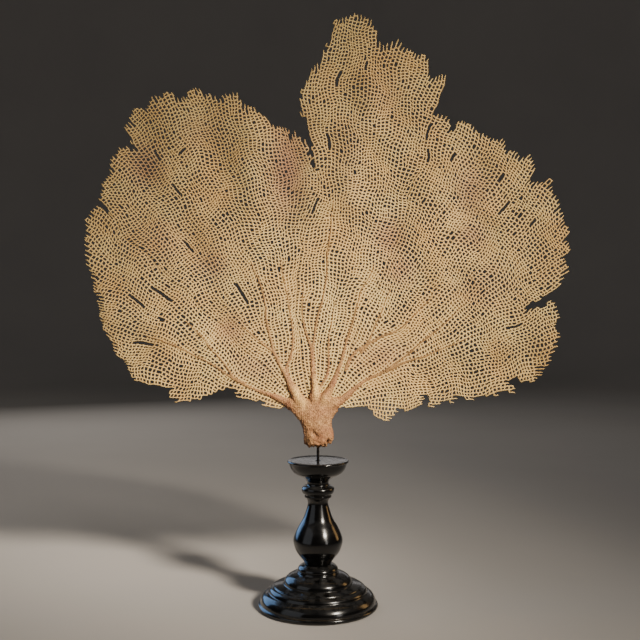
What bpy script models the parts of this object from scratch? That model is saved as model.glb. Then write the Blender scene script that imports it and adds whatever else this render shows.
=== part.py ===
"""Sea fan held upright on a black turned stand.

The stand is a stepped foot, a baluster stem with a dish on top and a thin steel pin.
The coral stands on the pin: a short thick trunk that forks into five flat branches of net.
The net is coarse: its strands and openings follow the ribs, forks and margins at a wide pitch.
Metres, +Z up, the fan in the X-Z plane, origin under the middle of the foot.
"""

import math

import bmesh
import bpy
import numpy as np
from mathutils import Vector, geometry

MM = 0.001
GAP = 0.3

# Sizes below are in millimetres
STAND_SIDES = 32
STEM_SIDES = 26
PIN_SIDES = 16
BORE_SIDES = 12
PIN_RADIUS = 1.25
PIN_LOW, PIN_HIGH = 112.0, 168.0
TRUNK_BORE_LOW = 130.0
TENON_RADIUS, TENON_LOW, SOCKET_LOW = 7.0, 14.0, 12.0
COLLAR_TOP = 38.4

# The net: rows of openings, from the first row's distance to past the farthest margin
NET_PITCH = 22.5
FIRST_ROW = 13.5
NET_REACH = 430.0
SPLIT_WIDTH = 32.6
STRAND_HALF = 2.9
RIB_SHOULDER = 1.0
MARGIN_HALF, INNER_MARGIN_HALF = 2.5, 1.75
NARROWEST_OPENING = 3.2
SHORTEN_STEP = 2.0

# The blade: half thickness, and how much thicker it gets towards the trunk and over what distance
BLADE_HALF, BLADE_SWELL, SWELL_FADE = 1.1, 1.6, 14.0
ROOT_EDGE_HALF, ROOT_SWELL = 2.4, 3.6
ROOT_BAND = 1.0

# Spacing of points along guides, along the ribs' crests and along the root arc
GUIDE_STEP, CREST_STEP, ARC_STEP = 4.0, 16.0, 5.0
CURVE_PARTS = 12
CREST_START, CREST_CLEARANCE = 2.4, 1.2
WELD = 0.01

# Half outlines of the turned pieces, radius and height, from the bottom up
FOOT_OUTLINE = [
    (0.0, 0.0), (51.4, 0.0), (53.6, 1.1), (54.0, 2.4), (53.0, 4.0), (51.9, 4.6),
    (51.8, 6.6), (50.3, 9.6), (47.8, 12.2), (44.6, 14.0), (43.9, 14.6),
    (43.2, 16.4), (41.9, 17.8), (39.9, 18.5), (39.3, 19.0), (39.0, 19.7), (31.2, 20.9),
    (30.6, 22.0), (29.9, 24.0), (28.4, 26.4), (25.0, 29.0), (21.5, 30.1), (19.0, 30.3),
    (18.6, 31.6), (17.9, 32.6), (18.1, 34.2), (16.6, 36.6), (13.0, 38.2),
]
STEM_OUTLINE = [
    (11.7, 38.9), (13.1, 41.5), (15.8, 44.7), (19.5, 49.8), (21.6, 55.3), (22.2, 60.3),
    (20.4, 66.3), (17.2, 72.7), (13.5, 79.0), (10.8, 86.5), (9.2, 92.4), (10.4, 97.0),
    (12.0, 99.7), (12.2, 101.2), (13.6, 102.4), (14.6, 105.3), (13.6, 107.8), (10.6, 109.0),
    (9.7, 110.6), (10.0, 112.6), (12.0, 115.2), (16.8, 117.6), (21.6, 120.3), (24.8, 125.0),
    (26.4, 129.2), (27.6, 130.2), (27.6, 131.2), (27.0, 131.7),
]

# The arc across the top of the trunk where the branches begin
ROOT_MIDDLE, ROOT_HALF_WIDTH, ROOT_LOW, ROOT_RISE = -4.0, 24.5, 177.2, 10.0

# Strand lines from the trunk outwards, in order from the low left edge round to the low right
GUIDES = {
    "low_left_edge": [(-28.5, 177.2), (-45, 177), (-75, 182), (-115, 180), (-160, 177), (-220, 172)],
    "low_left": [(-26, 179.2), (-45, 184), (-80, 193), (-120, 203), (-165, 214), (-225, 225)],
    "rib_a": [(-23, 181.2), (-40, 189), (-62, 197), (-78, 206), (-93, 216), (-110, 225),
              (-128, 234), (-150, 241.5), (-195, 256), (-230, 268)],
    "rib_a_upper": [(-23, 181.2), (-40, 189), (-62, 198.5), (-75, 205), (-81, 213), (-90, 224),
                    (-98, 233), (-106, 244), (-140, 275), (-180, 302), (-230, 330)],
    "fork_far_left": [(-20.5, 182.7), (-28, 193), (-40, 206), (-54, 220), (-72, 235), (-92, 253),
                      (-118, 279), (-150, 309), (-175, 334), (-190.5, 354.5), (-225, 395)],
    "rib_b_left": [(-17, 184.4), (-20, 190), (-25, 200), (-30, 210), (-34, 217), (-40, 228),
                   (-47.5, 234), (-55, 241), (-64, 249), (-72, 254), (-83, 266), (-120, 320),
                   (-160, 372), (-200, 425)],
    "rib_b": [(-17, 184.4), (-20, 190), (-25, 200), (-30, 210), (-34, 217), (-39, 227),
              (-42, 237), (-45, 250), (-47.5, 263), (-49, 278), (-53, 293), (-58, 303),
              (-64, 318), (-82, 355), (-107, 405), (-140, 480)],
    "rib_b_right": [(-17, 184.4), (-20, 190), (-24.5, 200), (-27.5, 210), (-28, 217), (-25, 224),
                    (-23, 234), (-23, 249), (-25, 266), (-30, 293), (-42, 345), (-58, 405), (-75, 480)],
    "fork_left": [(-9, 186.8), (-12, 200), (-15, 218), (-17, 240), (-19, 262), (-20, 285),
                  (-19, 310), (-15, 335), (-8, 360), (0, 384.5), (-6, 400), (-8.5, 418),
                  (-13, 432), (-25, 455), (-35, 480)],
    "rib_c_left": [(-3, 187.2), (-4, 205), (-5.5, 218), (-6.5, 234), (-11, 246), (-13, 258),
                   (-14, 278), (-12, 310), (-2, 350), (5, 385), (-2, 415), (-11, 440),
                   (-14.5, 465), (-10, 490), (0, 520), (8, 560)],
    "rib_c": [(-3, 187.2), (-3, 195), (-5, 216), (-4.4, 233), (-1, 258), (3, 272.5), (6, 288),
              (8.5, 303), (9, 319), (11.5, 344), (14, 385), (8, 430), (8, 470), (17, 510), (24, 560)],
    "rib_d": [(-3, 187.2), (0, 194), (5, 202), (8, 208), (9.5, 218), (9.8, 241), (13, 262),
              (22, 310), (30, 370), (32, 430), (36, 480), (42, 560)],
    "centre": [(2, 186.6), (6, 196), (11, 208), (14, 220), (16, 236), (20, 256), (28, 285),
               (38, 330), (47, 390), (52, 440), (57, 490), (66, 550)],
    "rib_e": [(5, 186), (12, 198), (17.5, 211), (21, 221), (25, 236), (30, 253), (36, 271),
              (40, 286), (46, 298), (53, 318), (60, 345), (70, 400), (80, 460), (90, 540)],
    "fork_right": [(8.5, 184.6), (15.5, 197), (21.5, 209), (25, 219), (29, 234), (36.5, 254),
                   (46, 274), (54, 290), (64, 312), (76, 347), (92, 402), (102, 441), (110, 465)],
    "rib_e_right": [(9.5, 184.2), (17, 196.5), (23, 208), (27, 219), (33, 228), (45, 238),
                    (51, 251), (56, 263), (61, 278), (68, 289), (95, 340), (122, 400), (142, 450)],
    "rib_f": [(10.5, 183.8), (18, 195.5), (24.5, 206.5), (30, 217), (37, 226), (45, 236),
              (58, 243), (70, 248), (82, 257), (95, 270), (125, 308), (163, 357), (205, 415)],
    "fork_far_right": [(11.5, 183.2), (20, 193), (32, 206), (46, 219), (60, 228), (76, 238),
                       (92, 251), (108, 267), (128, 292), (150, 324), (171, 356), (191, 384), (215, 420)],
    "rib_g": [(13.5, 182), (23, 187), (33, 196), (43, 203.5), (55, 209), (68, 216.5), (78, 224),
              (88, 234), (100, 243), (113, 254), (125, 266), (150, 292), (190, 345), (240, 400)],
    "rib_g_lower": [(13.5, 182), (23, 187), (33, 196), (43, 203.5), (55, 208.5), (72, 216),
                    (88, 223), (100, 227), (116, 234), (130, 239), (180, 262.5), (240, 290)],
    "low_right": [(16, 180.5), (33, 191), (54, 201), (78, 207), (100, 210), (150, 222),
                  (200, 244), (245, 264)],
    "lower_right": [(18.3, 178.9), (30, 184), (50, 189), (75, 192), (100, 195), (140, 199),
                    (185, 210), (240, 226)],
    "low_right_edge": [(20.5, 177.2), (36, 176), (52, 168), (64, 163), (85, 168), (110, 174),
                       (150, 178), (190, 184), (245, 196)],
}
GUIDE_ORDER = list(GUIDES)

# Ribs that stand out of the blade: guide, where they start and fade along it, radius at both ends
RIBS = [
    ("rib_a", 0, 140, 3.2, 1.2), ("rib_a_upper", 58, 122, 1.8, 1.2),
    ("rib_b", 0, 150, 4.2, 1.2), ("rib_b_left", 44, 105, 2.0, 1.2), ("rib_b_right", 30, 115, 2.0, 1.2),
    ("rib_c", 0, 165, 3.4, 1.2), ("rib_c_left", 40, 95, 1.8, 1.2), ("rib_d", 14, 80, 1.9, 1.2),
    ("rib_e", 0, 140, 3.4, 1.2), ("rib_e_right", 44, 125, 2.1, 1.2), ("rib_f", 62, 120, 1.9, 1.2),
    ("rib_g", 0, 140, 3.4, 1.2), ("rib_g_lower", 70, 130, 1.9, 1.2),
]
# A rib keeps its thickness near the trunk and has lost half of it at this distance
RIB_HALF_LENGTH, RIB_TAPER = 30.0, 2.2

# Margins of the branches, clockwise round the fan, each from fork notch to fork notch
FAR_LEFT_MARGIN = [
    (-28.5, 178.3), (-48, 179), (-57, 186), (-74, 187), (-80, 195.5), (-102, 188.5), (-112, 184.5),
    (-130, 184), (-137, 194), (-153, 197.5), (-167, 203.5), (-175, 218), (-186, 232.5),
    (-193, 246), (-199, 268), (-203, 282), (-209, 305), (-213.5, 320), (-213.5, 343),
    (-208, 356), (-200.5, 361),
]
LEFT_MARGIN = [
    (-199, 367), (-195, 386), (-189, 396), (-186.5, 407), (-180.5, 416), (-172, 412),
    (-166.5, 403), (-168.5, 417), (-176, 433), (-169.5, 448), (-156, 447), (-148, 461),
    (-136, 464), (-127, 458.5), (-111, 467.5), (-104, 460.5), (-88, 456.5), (-76, 462.5),
    (-66, 451), (-55, 445.5), (-42, 433), (-25, 430), (-13, 422), (-8, 405),
]
CENTRE_MARGIN = [
    (-5.5, 405), (-6, 421), (-16, 447), (-15.5, 463), (-7.5, 480), (-1, 488.5), (4.5, 494),
    (11, 508), (14.5, 526), (28, 530), (35, 535), (48.5, 527), (55, 511), (62, 504.5),
    (71.5, 511), (77.5, 502), (87, 496.5), (100, 490), (101.5, 477), (112, 479), (113, 468),
    (109.5, 455),
]
RIGHT_MARGIN = [
    (117, 441), (121.5, 422), (126, 436), (141, 429), (150, 424), (166, 420), (168, 410),
    (178, 410.5), (190, 406),
]
FAR_RIGHT_MARGIN = [
    (204, 381.5), (209.5, 380), (214.5, 366), (219, 350), (226, 337.5), (221, 329),
    (225, 320), (220, 313), (223.5, 302), (212, 286), (198, 274.5), (183, 265), (193, 266),
    (208.5, 274.5), (215.5, 263), (211, 251), (216, 241), (209, 226), (203, 214), (192, 203.5),
    (177, 204), (171, 201), (177, 192.5), (158, 190), (143, 186.5), (124, 187), (112, 183.5),
    (100, 180), (98, 190), (94, 182), (84, 177.5), (71, 175), (64, 166), (54, 168.5),
    (49, 177), (36, 178.6), (21, 177.6),
]
BRANCHES = {
    "branch_far_left": ("low_left_edge", "fork_far_left", FAR_LEFT_MARGIN, (0.60, 0.43, 0.24)),
    "branch_left": ("fork_far_left", "fork_left", LEFT_MARGIN, (0.64, 0.46, 0.25)),
    "branch_centre": ("fork_left", "fork_right", CENTRE_MARGIN, (0.67, 0.49, 0.27)),
    "branch_right": ("fork_right", "fork_far_right", RIGHT_MARGIN, (0.64, 0.46, 0.26)),
    "branch_far_right": ("fork_far_right", "low_right_edge", FAR_RIGHT_MARGIN, (0.61, 0.44, 0.25)),
}
# Where each fork line meets the margin: the deepest point of the notch between two branches
NOTCHES = {
    "fork_far_left": (-190.5, 354.5), "fork_left": (0, 384.5),
    "fork_right": (102, 441), "fork_far_right": (191, 384),
}

# Folds of the blade: both ends of the fold line, half width and push towards the viewer's side
FOLDS = [
    ((-57, 365), (-60, 425), 16, -5.0), ((28, 365), (32, 425), 14, -5.0),
    ((48, 430), (46, 475), 12, -4.0), ((-30, 345), (-22, 430), 17, 6.0),
    ((-158, 385), (-160, 415), 18, 5.0), ((-100, 300), (-120, 335), 16, 4.5),
    ((-80, 245), (-92, 262), 14, 3.5), ((64, 330), (76, 365), 14, 4.5),
    ((128, 360), (145, 392), 16, 5.0), ((138, 325), (150, 340), 13, 3.5),
    ((-140, 250), (-185, 262), 16, -4.0), ((110, 300), (150, 350), 12, -3.0),
    ((100, 205), (190, 222), 15, 4.0), ((-90, 400), (-105, 455), 15, 4.0),
]
CURL_LEFT, CURL_RIGHT, CURL_REACH = 9.0, -7.0, 215.0
# The blade is flat round the trunk and takes its folds over this distance
FLAT_BELOW, FLAT_BESIDE, FOLD_FADE = 190.0, 30.0, 60.0

# Trunk sections from the broken foot up: height, left edge, right edge, half depth
TRUNK_SECTIONS = [
    (143.2, -10.5, 6.5, 5.0), (145.6, -12.4, 12.2, 7.4), (149.5, -13.0, 13.6, 8.4),
    (154.0, -13.2, 14.5, 8.2), (158.5, -13.6, 13.6, 7.6), (164.0, -15.6, 11.9, 7.4),
    (169.0, -18.6, 12.9, 7.2), (173.0, -22.0, 15.8, 6.8),
]
TRUNK_SIDES = 24
TRUNK_SQUARENESS = 0.8
# The last two sections rise to the root arc: how far in from its ends, half depth, share of the rise
TRUNK_TOPS = [(1.1, 6.2, 0.72), (0.6, 1.0, 1.0)]
TRUNK_TOP_BASE = 172.0

# Colours, roughness and the largest angle that is shaded smooth
LACQUER, STEEL, BARK = (0.012, 0.012, 0.013), (0.06, 0.055, 0.05), (0.52, 0.34, 0.19)
LACQUER_ROUGHNESS, STEEL_ROUGHNESS, BARK_ROUGHNESS, NET_ROUGHNESS = 0.2, 0.45, 0.8, 0.75
TURNED_ANGLE, BARK_ANGLE, NET_ANGLE = 35.0, 60.0, 40.0


def clear_scene():
    """Remove every object, so that only the model's own are left."""
    for old in list(bpy.data.objects):
        bpy.data.objects.remove(old)


def finish(name, colour, roughness, metallic=0.0):
    """A plain Principled material."""
    material = bpy.data.materials.new(name)
    material.use_nodes = True
    shader = material.node_tree.nodes["Principled BSDF"]
    shader.inputs["Base Color"].default_value = (*colour, 1.0)
    shader.inputs["Roughness"].default_value = roughness
    shader.inputs["Metallic"].default_value = metallic
    return material


def add_object(name, bm, material, smooth_angle=TURNED_ANGLE):
    """Turn a bmesh in millimetres into a shaded object in metres."""
    bmesh.ops.scale(bm, vec=Vector((MM, MM, MM)), verts=bm.verts)
    bmesh.ops.recalc_face_normals(bm, faces=bm.faces)
    mesh = bpy.data.meshes.new(name)
    bm.to_mesh(mesh)
    bm.free()
    mesh.materials.append(material)
    mesh.shade_smooth()
    mesh.set_sharp_from_angle(angle=math.radians(smooth_angle))
    thing = bpy.data.objects.new(name, mesh)
    bpy.context.scene.collection.objects.link(thing)
    return thing


def turned(outline, sides):
    """Spin a half outline round the Z axis into a closed solid."""
    bm = bmesh.new()
    verts = [bm.verts.new((radius, 0.0, height)) for radius, height in outline]
    edges = [bm.edges.new(pair) for pair in zip(verts, verts[1:])]
    bmesh.ops.spin(bm, geom=verts + edges, axis=(0, 0, 1), cent=(0, 0, 0),
                   angle=2 * math.pi, steps=sides, use_merge=True)
    bmesh.ops.remove_doubles(bm, verts=bm.verts, dist=WELD)
    return bm


def foot_bmesh():
    """The stepped foot, with a round socket in its top for the stem's tenon."""
    outline = FOOT_OUTLINE + [
        (TENON_RADIUS + GAP, COLLAR_TOP), (TENON_RADIUS + GAP, SOCKET_LOW), (0.0, SOCKET_LOW),
    ]
    return turned(outline, STAND_SIDES)


def stem_bmesh():
    """Tenon, baluster, ring, neck and dish in one turning, bored from the top for the pin."""
    bore = PIN_RADIUS + GAP
    tenon = [(0.0, TENON_LOW), (TENON_RADIUS, TENON_LOW), (TENON_RADIUS, COLLAR_TOP + GAP)]
    top = [(bore, STEM_OUTLINE[-1][1]), (bore, PIN_LOW - GAP), (0.0, PIN_LOW - GAP)]
    return turned(tenon + STEM_OUTLINE + top, STEM_SIDES)


def root_height(x):
    """Height of the arc across the top of the trunk."""
    return ROOT_LOW + ROOT_RISE * (1.0 - ((x - ROOT_MIDDLE) / ROOT_HALF_WIDTH) ** 2)


def smooth_line(points):
    """A rounded line through hand-set points, with its length along it, at even steps."""
    pts = np.array(points, float)
    ends = np.vstack([2 * pts[0] - pts[1], pts, 2 * pts[-1] - pts[-2]])
    fine = []
    for i in range(len(pts) - 1):
        p0, p1, p2, p3 = ends[i:i + 4]
        for t in np.linspace(0.0, 1.0, CURVE_PARTS, endpoint=False):
            fine.append(0.5 * ((2 * p1) + (p2 - p0) * t + (2 * p0 - 5 * p1 + 4 * p2 - p3) * t ** 2
                               + (3 * p1 - p0 - 3 * p2 + p3) * t ** 3))
    fine.append(pts[-1])
    fine = np.array(fine)
    along = np.concatenate([[0.0], np.cumsum(np.linalg.norm(np.diff(fine, axis=0), axis=1))])
    even = np.arange(0.0, along[-1], GUIDE_STEP)
    return even, np.column_stack([np.interp(even, along, fine[:, k]) for k in (0, 1)])


LINES = {name: smooth_line(points) for name, points in GUIDES.items()}


def on_guide(name, distance):
    """The point at a distance along a guide, running straight on past its end."""
    along, pts = LINES[name]
    if distance > along[-1]:
        heading = (pts[-1] - pts[-2]) / (along[-1] - along[-2])
        return pts[-1] + heading * (distance - along[-1])
    return np.array([np.interp(distance, along, pts[:, k]) for k in (0, 1)])


def on_field(place, distance):
    """A point between two guides: place 2.5 is half way from guide 2 to guide 3."""
    low = min(int(place), len(GUIDE_ORDER) - 2)
    part = place - low
    a = on_guide(GUIDE_ORDER[low], distance)
    b = on_guide(GUIDE_ORDER[low + 1], distance)
    return a * (1.0 - part) + b * part


def segment_distance(point, a, b):
    """Distance from a point to a straight piece of line."""
    run = b - a
    share = np.clip(np.dot(point - a, run) / max(np.dot(run, run), 1e-9), 0.0, 1.0)
    return float(np.linalg.norm(point - a - share * run))


def fold_depth(x, z):
    """How far the blade's middle surface lies behind the plane of the fan."""
    here = np.array([x, z], float)
    reach = min(max(z - FLAT_BELOW, abs(x) - FLAT_BESIDE, 0.0) / FOLD_FADE, 1.0)
    depth = 0.0
    for a, b, half_width, push in FOLDS:
        away = segment_distance(here, np.array(a, float), np.array(b, float)) / half_width
        depth += push * math.exp(-away * away)
    side = CURL_LEFT if x < 0 else CURL_RIGHT
    return reach * (depth + side * (x / CURL_REACH) ** 2)


def rib_radius(name, distance):
    """Radius of a rib at a distance along its guide, or 0 past its ends."""
    for guide, start, end, thick, thin in RIBS:
        if guide == name and start <= distance <= end:
            return thin + (thick - thin) / (1.0 + ((distance - start) / RIB_HALF_LENGTH) ** RIB_TAPER)
    return 0.0


def root_half_depth(x):
    """Half depth of the coral along the arc where trunk and branches meet."""
    share = min(abs(x - ROOT_MIDDLE) / ROOT_HALF_WIDTH, 1.0)
    return ROOT_EDGE_HALF + ROOT_SWELL * math.sqrt(max(1.0 - share * share, 0.0))


def blade_half(x, z):
    """Half thickness of the blade between the ribs, thicker towards the trunk."""
    away = max(math.hypot(x - ROOT_MIDDLE, z - ROOT_LOW) - ROOT_HALF_WIDTH, 0.0)
    return BLADE_HALF + BLADE_SWELL * math.exp(-away / SWELL_FADE)


def inside(point, polygon):
    """True where a point lies inside a closed outline."""
    x, z = point
    hit = False
    for (x1, z1), (x2, z2) in zip(polygon, polygon[1:] + polygon[:1]):
        if (z1 > z) != (z2 > z) and x < x1 + (z - z1) * (x2 - x1) / (z2 - z1):
            hit = not hit
    return hit


def clearance(point, polygon):
    """Distance from a point to the nearest side of a closed outline."""
    here = np.array(point, float)
    sides = zip(polygon, polygon[1:] + polygon[:1])
    return min(segment_distance(here, np.array(a, float), np.array(b, float)) for a, b in sides)


def fork_line(name, side):
    """A fork line from the root to its notch, moved half a gap to one side."""
    points = [np.array(p, float) for p in GUIDES[name]]
    notch = np.array(NOTCHES[name], float)
    last = min(range(len(points)), key=lambda i: np.linalg.norm(points[i] - notch))
    points = points[:last + 1]
    points[0][1] = root_height(points[0][0]) + GAP
    moved = []
    for i, p in enumerate(points):
        heading = points[min(i + 1, last)] - points[max(i - 1, 0)]
        heading = heading / np.linalg.norm(heading)
        moved.append(tuple(p + side * GAP / 2 * np.array([heading[1], -heading[0]])))
    return moved


def branch_outline(first, last, margin):
    """The closed outline of a branch: fork line, margin, fork line and the root arc."""
    left = fork_line(first, 1.0) if first in NOTCHES else []
    right = fork_line(last, -1.0) if last in NOTCHES else []
    x_from = left[0][0] if left else margin[0][0]
    x_to = right[0][0] if right else margin[-1][0]
    count = max(int(abs(x_to - x_from) / ARC_STEP), 1)
    arc = [x_to + (x_from - x_to) * k / count for k in range(1, count)]
    arc = [(x, root_height(x) + GAP) for x in arc]
    return left + list(margin) + right[::-1] + arc


def strand_fronts(first, last):
    """Rows of strand places across a branch, with a strand more wherever two lie far apart."""
    low, high = GUIDE_ORDER.index(first), GUIDE_ORDER.index(last)
    front = [float(k) for k in range(low, high + 1)]
    rows = []
    distance = FIRST_ROW
    while distance < NET_REACH:
        rows.append((distance, list(front)))
        grown = [front[0]]
        for a, b in zip(front, front[1:]):
            apart = np.linalg.norm(on_field(a, distance + NET_PITCH) - on_field(b, distance + NET_PITCH))
            if apart > SPLIT_WIDTH:
                grown.append((a + b) / 2)
            grown.append(b)
        front = grown
        distance += NET_PITCH
    return rows


def strand_half(place, distance):
    """Half width of a strand, wider where it is a rib."""
    if abs(place - round(place)) < 1e-6:
        return max(STRAND_HALF, rib_radius(GUIDE_ORDER[round(place)], distance) + RIB_SHOULDER)
    return STRAND_HALF


def beside_strand(place, other, distance, row):
    """The point on a strand's edge, at a distance along it, that faces the next strand."""
    here, there = on_field(place, distance), on_field(other, distance)
    apart = max(np.linalg.norm(there - here), GAP)
    return here + (there - here) * strand_half(place, row) / apart


def opening_side(place, other, row, outline):
    """Lower and upper corner of an opening beside a strand, drawn back from the margin."""
    near, far = row + STRAND_HALF, row + NET_PITCH - STRAND_HALF
    while far > near:
        upper = beside_strand(place, other, far, row)
        if inside(upper, outline) and clearance(upper, outline) > MARGIN_HALF:
            break
        far -= SHORTEN_STEP
    return beside_strand(place, other, near, row), upper, far - near


def branch_openings(first, last, outline):
    """The openings of the net in one branch, kept clear of the ribs and the margin."""
    openings = []
    for row, front in strand_fronts(first, last):
        for a, b in zip(front, front[1:]):
            low_a, high_a, tall_a = opening_side(a, b, row, outline)
            low_b, high_b, tall_b = opening_side(b, a, row, outline)
            apart = np.linalg.norm(on_field(a, row + STRAND_HALF) - on_field(b, row + STRAND_HALF))
            wide = min(apart - strand_half(a, row) - strand_half(b, row), np.linalg.norm(high_a - high_b))
            if min(wide, tall_a, tall_b) < NARROWEST_OPENING:
                continue
            lows = (low_a, low_b)
            if all(inside(low, outline) and clearance(low, outline) > INNER_MARGIN_HALF for low in lows):
                openings.append([tuple(low_a), tuple(high_a), tuple(high_b), tuple(low_b)])
    return openings


def rib_lines(first, last, outline):
    """Crest lines of the ribs in one branch, as points with their radius."""
    low, high = GUIDE_ORDER.index(first), GUIDE_ORDER.index(last)
    lines = []
    for guide, start, end, _, _ in RIBS:
        if not low < GUIDE_ORDER.index(guide) < high:
            continue
        count = max(int((end - start) / CREST_STEP), 2)
        line = []
        for k in range(count + 1):
            distance = start + (end - start) * k / count
            spot = on_guide(guide, max(distance, CREST_START))
            if inside(spot, outline) and clearance(spot, outline) > CREST_CLEARANCE:
                line.append((tuple(spot), rib_radius(guide, distance)))
        lines.append(line)
    return lines


def branch_bmesh(first, last, margin):
    """One branch: a folded blade with ribs and net openings, closed all round."""
    outline = branch_outline(first, last, margin)
    openings = branch_openings(first, last, outline)
    points, edges, radii = [], [], {}

    def add_loop(loop, closed=True):
        start = len(points)
        points.extend(Vector(p) for p in loop)
        count = len(loop)
        edges.extend((start + k, start + (k + 1) % count) for k in range(count if closed else count - 1))

    add_loop(outline)
    for opening in openings:
        add_loop(opening)
    for line in rib_lines(first, last, outline):
        for k, (_, radius) in enumerate(line):
            radii[len(points) + k] = radius
        add_loop([spot for spot, _ in line], closed=False)

    spots, _, faces, origins, _, _ = geometry.delaunay_2d_cdt(points, edges, [], 1, WELD)
    bm = bmesh.new()
    half_depth = bm.verts.layers.float.new("half_depth")
    verts = []
    for spot, origin in zip(spots, origins):
        half = blade_half(spot.x, spot.y)
        if spot.y < root_height(spot.x) + ROOT_BAND and abs(spot.x - ROOT_MIDDLE) < ROOT_HALF_WIDTH:
            half = root_half_depth(spot.x)
        vert = bm.verts.new((spot.x, 0.0, spot.y))
        vert[half_depth] = max([half] + [radii[k] for k in origin if k in radii])
        verts.append(vert)
    for face in faces:
        middle = sum((spots[k] for k in face), Vector((0, 0))) / len(face)
        if inside(middle, outline) and not any(inside(middle, hole) for hole in openings):
            bm.faces.new([verts[k] for k in face])
    bmesh.ops.delete(bm, geom=[v for v in verts if not v.link_faces], context="VERTS")
    front = bmesh.ops.extrude_face_region(bm, geom=bm.faces[:])["geom"]
    front = {v for v in front if isinstance(v, bmesh.types.BMVert)}
    for v in bm.verts:
        side = -v[half_depth] if v in front else v[half_depth]
        v.co.y = fold_depth(v.co.x, v.co.z) + side
    bmesh.ops.triangulate(bm, faces=bm.faces)
    return bm


def trunk_section(bm, left, right, depth_at, height_at):
    """One closed section of the trunk; gives back its edges."""
    ring = bmesh.ops.create_circle(bm, cap_ends=False, segments=TRUNK_SIDES, radius=1.0)["verts"]
    for v in ring:
        x = (left + right) / 2 + (right - left) / 2 * v.co.x
        y = math.copysign(abs(v.co.y) ** TRUNK_SQUARENESS, v.co.y) * depth_at(x)
        v.co = (x, y, height_at(x))
    return list({edge for v in ring for edge in v.link_edges})


def trunk_bmesh():
    """The trunk: rounded sections bridged from the broken foot to the root arc."""
    bm = bmesh.new()
    rings = []
    for height, left, right, half_depth in TRUNK_SECTIONS:
        rings.append(trunk_section(bm, left, right, lambda x, d=half_depth: d, lambda x, z=height: z))
    for inset, half_depth, share in TRUNK_TOPS:
        half = ROOT_HALF_WIDTH - inset
        depth_at = root_half_depth if share == 1.0 else lambda x, d=half_depth: d
        rings.append(trunk_section(bm, ROOT_MIDDLE - half, ROOT_MIDDLE + half, depth_at,
                                   lambda x, s=share: TRUNK_TOP_BASE + s * (root_height(x) - TRUNK_TOP_BASE)))
    for lower, upper in zip(rings, rings[1:]):
        bmesh.ops.bridge_loops(bm, edges=lower + upper)
    for ring in (rings[0], rings[-1]):
        bmesh.ops.contextual_create(bm, geom=ring)
    bmesh.ops.triangulate(bm, faces=[face for face in bm.faces if len(face.verts) > 4])
    return bm


def bore(thing, radius, low, high):
    """Drill a round hole up the middle of an object."""
    bm = bmesh.new()
    bmesh.ops.create_cone(bm, cap_ends=True, segments=BORE_SIDES, radius1=radius * MM, radius2=radius * MM,
                          depth=(high - low) * MM)
    bmesh.ops.translate(bm, vec=(0, 0, (low + high) / 2 * MM), verts=bm.verts)
    mesh = bpy.data.meshes.new(thing.name + "_drill")
    bm.to_mesh(mesh)
    bm.free()
    drill = bpy.data.objects.new(thing.name + "_drill", mesh)
    bpy.context.scene.collection.objects.link(drill)
    drill.hide_render = True
    drill.display_type = "WIRE"
    cut = thing.modifiers.new("pin_hole", "BOOLEAN")
    cut.operation = "DIFFERENCE"
    cut.object = drill


def pin_bmesh():
    """The thin steel pin between the dish and the trunk."""
    bm = bmesh.new()
    bmesh.ops.create_cone(bm, cap_ends=True, segments=PIN_SIDES, radius1=PIN_RADIUS, radius2=PIN_RADIUS,
                          depth=PIN_HIGH - PIN_LOW)
    bmesh.ops.translate(bm, vec=(0, 0, (PIN_LOW + PIN_HIGH) / 2), verts=bm.verts)
    return bm


def main():
    """Build the stand, the pin and the coral."""
    clear_scene()
    add_object("stand_foot", foot_bmesh(), finish("foot_lacquer", LACQUER, LACQUER_ROUGHNESS))
    add_object("stand_stem", stem_bmesh(), finish("stem_lacquer", LACQUER, LACQUER_ROUGHNESS))
    add_object("pin", pin_bmesh(), finish("pin_steel", STEEL, STEEL_ROUGHNESS, 1.0))
    trunk = add_object("trunk", trunk_bmesh(), finish("trunk_bark", BARK, BARK_ROUGHNESS), BARK_ANGLE)
    bore(trunk, PIN_RADIUS + GAP, TRUNK_BORE_LOW, PIN_HIGH + GAP)
    for name, (first, last, margin, colour) in BRANCHES.items():
        rind = finish(name + "_net", colour, NET_ROUGHNESS)
        add_object(name, branch_bmesh(first, last, margin), rind, NET_ANGLE)


main()
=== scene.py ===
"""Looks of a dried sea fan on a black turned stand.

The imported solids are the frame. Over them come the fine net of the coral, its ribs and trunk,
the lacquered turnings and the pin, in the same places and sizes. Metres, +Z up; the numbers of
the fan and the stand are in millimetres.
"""

import logging
import math
from collections import Counter
from dataclasses import dataclass, field
from enum import Enum
from functools import cache
from typing import Callable, Iterable, Mapping, Sequence

import bmesh
import bpy
import numpy as np
from mathutils import Matrix, Vector, noise


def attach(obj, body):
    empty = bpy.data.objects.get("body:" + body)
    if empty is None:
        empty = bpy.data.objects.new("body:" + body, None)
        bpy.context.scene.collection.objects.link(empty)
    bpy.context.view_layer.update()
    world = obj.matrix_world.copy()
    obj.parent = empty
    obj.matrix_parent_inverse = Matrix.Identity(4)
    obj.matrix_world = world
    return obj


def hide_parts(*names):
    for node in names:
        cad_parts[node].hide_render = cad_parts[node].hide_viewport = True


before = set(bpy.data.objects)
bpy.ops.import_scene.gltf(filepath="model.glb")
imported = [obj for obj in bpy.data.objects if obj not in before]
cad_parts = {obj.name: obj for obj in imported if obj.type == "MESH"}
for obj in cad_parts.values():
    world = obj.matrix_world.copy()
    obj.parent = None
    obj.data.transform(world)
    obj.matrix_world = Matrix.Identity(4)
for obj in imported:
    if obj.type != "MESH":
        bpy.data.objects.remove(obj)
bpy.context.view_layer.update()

Point = tuple[float, float]
Span = tuple[float, float]
Place = tuple[float, float, float]
Triple = tuple[float, float, float]
Colour = tuple[float, float, float, float]
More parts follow.
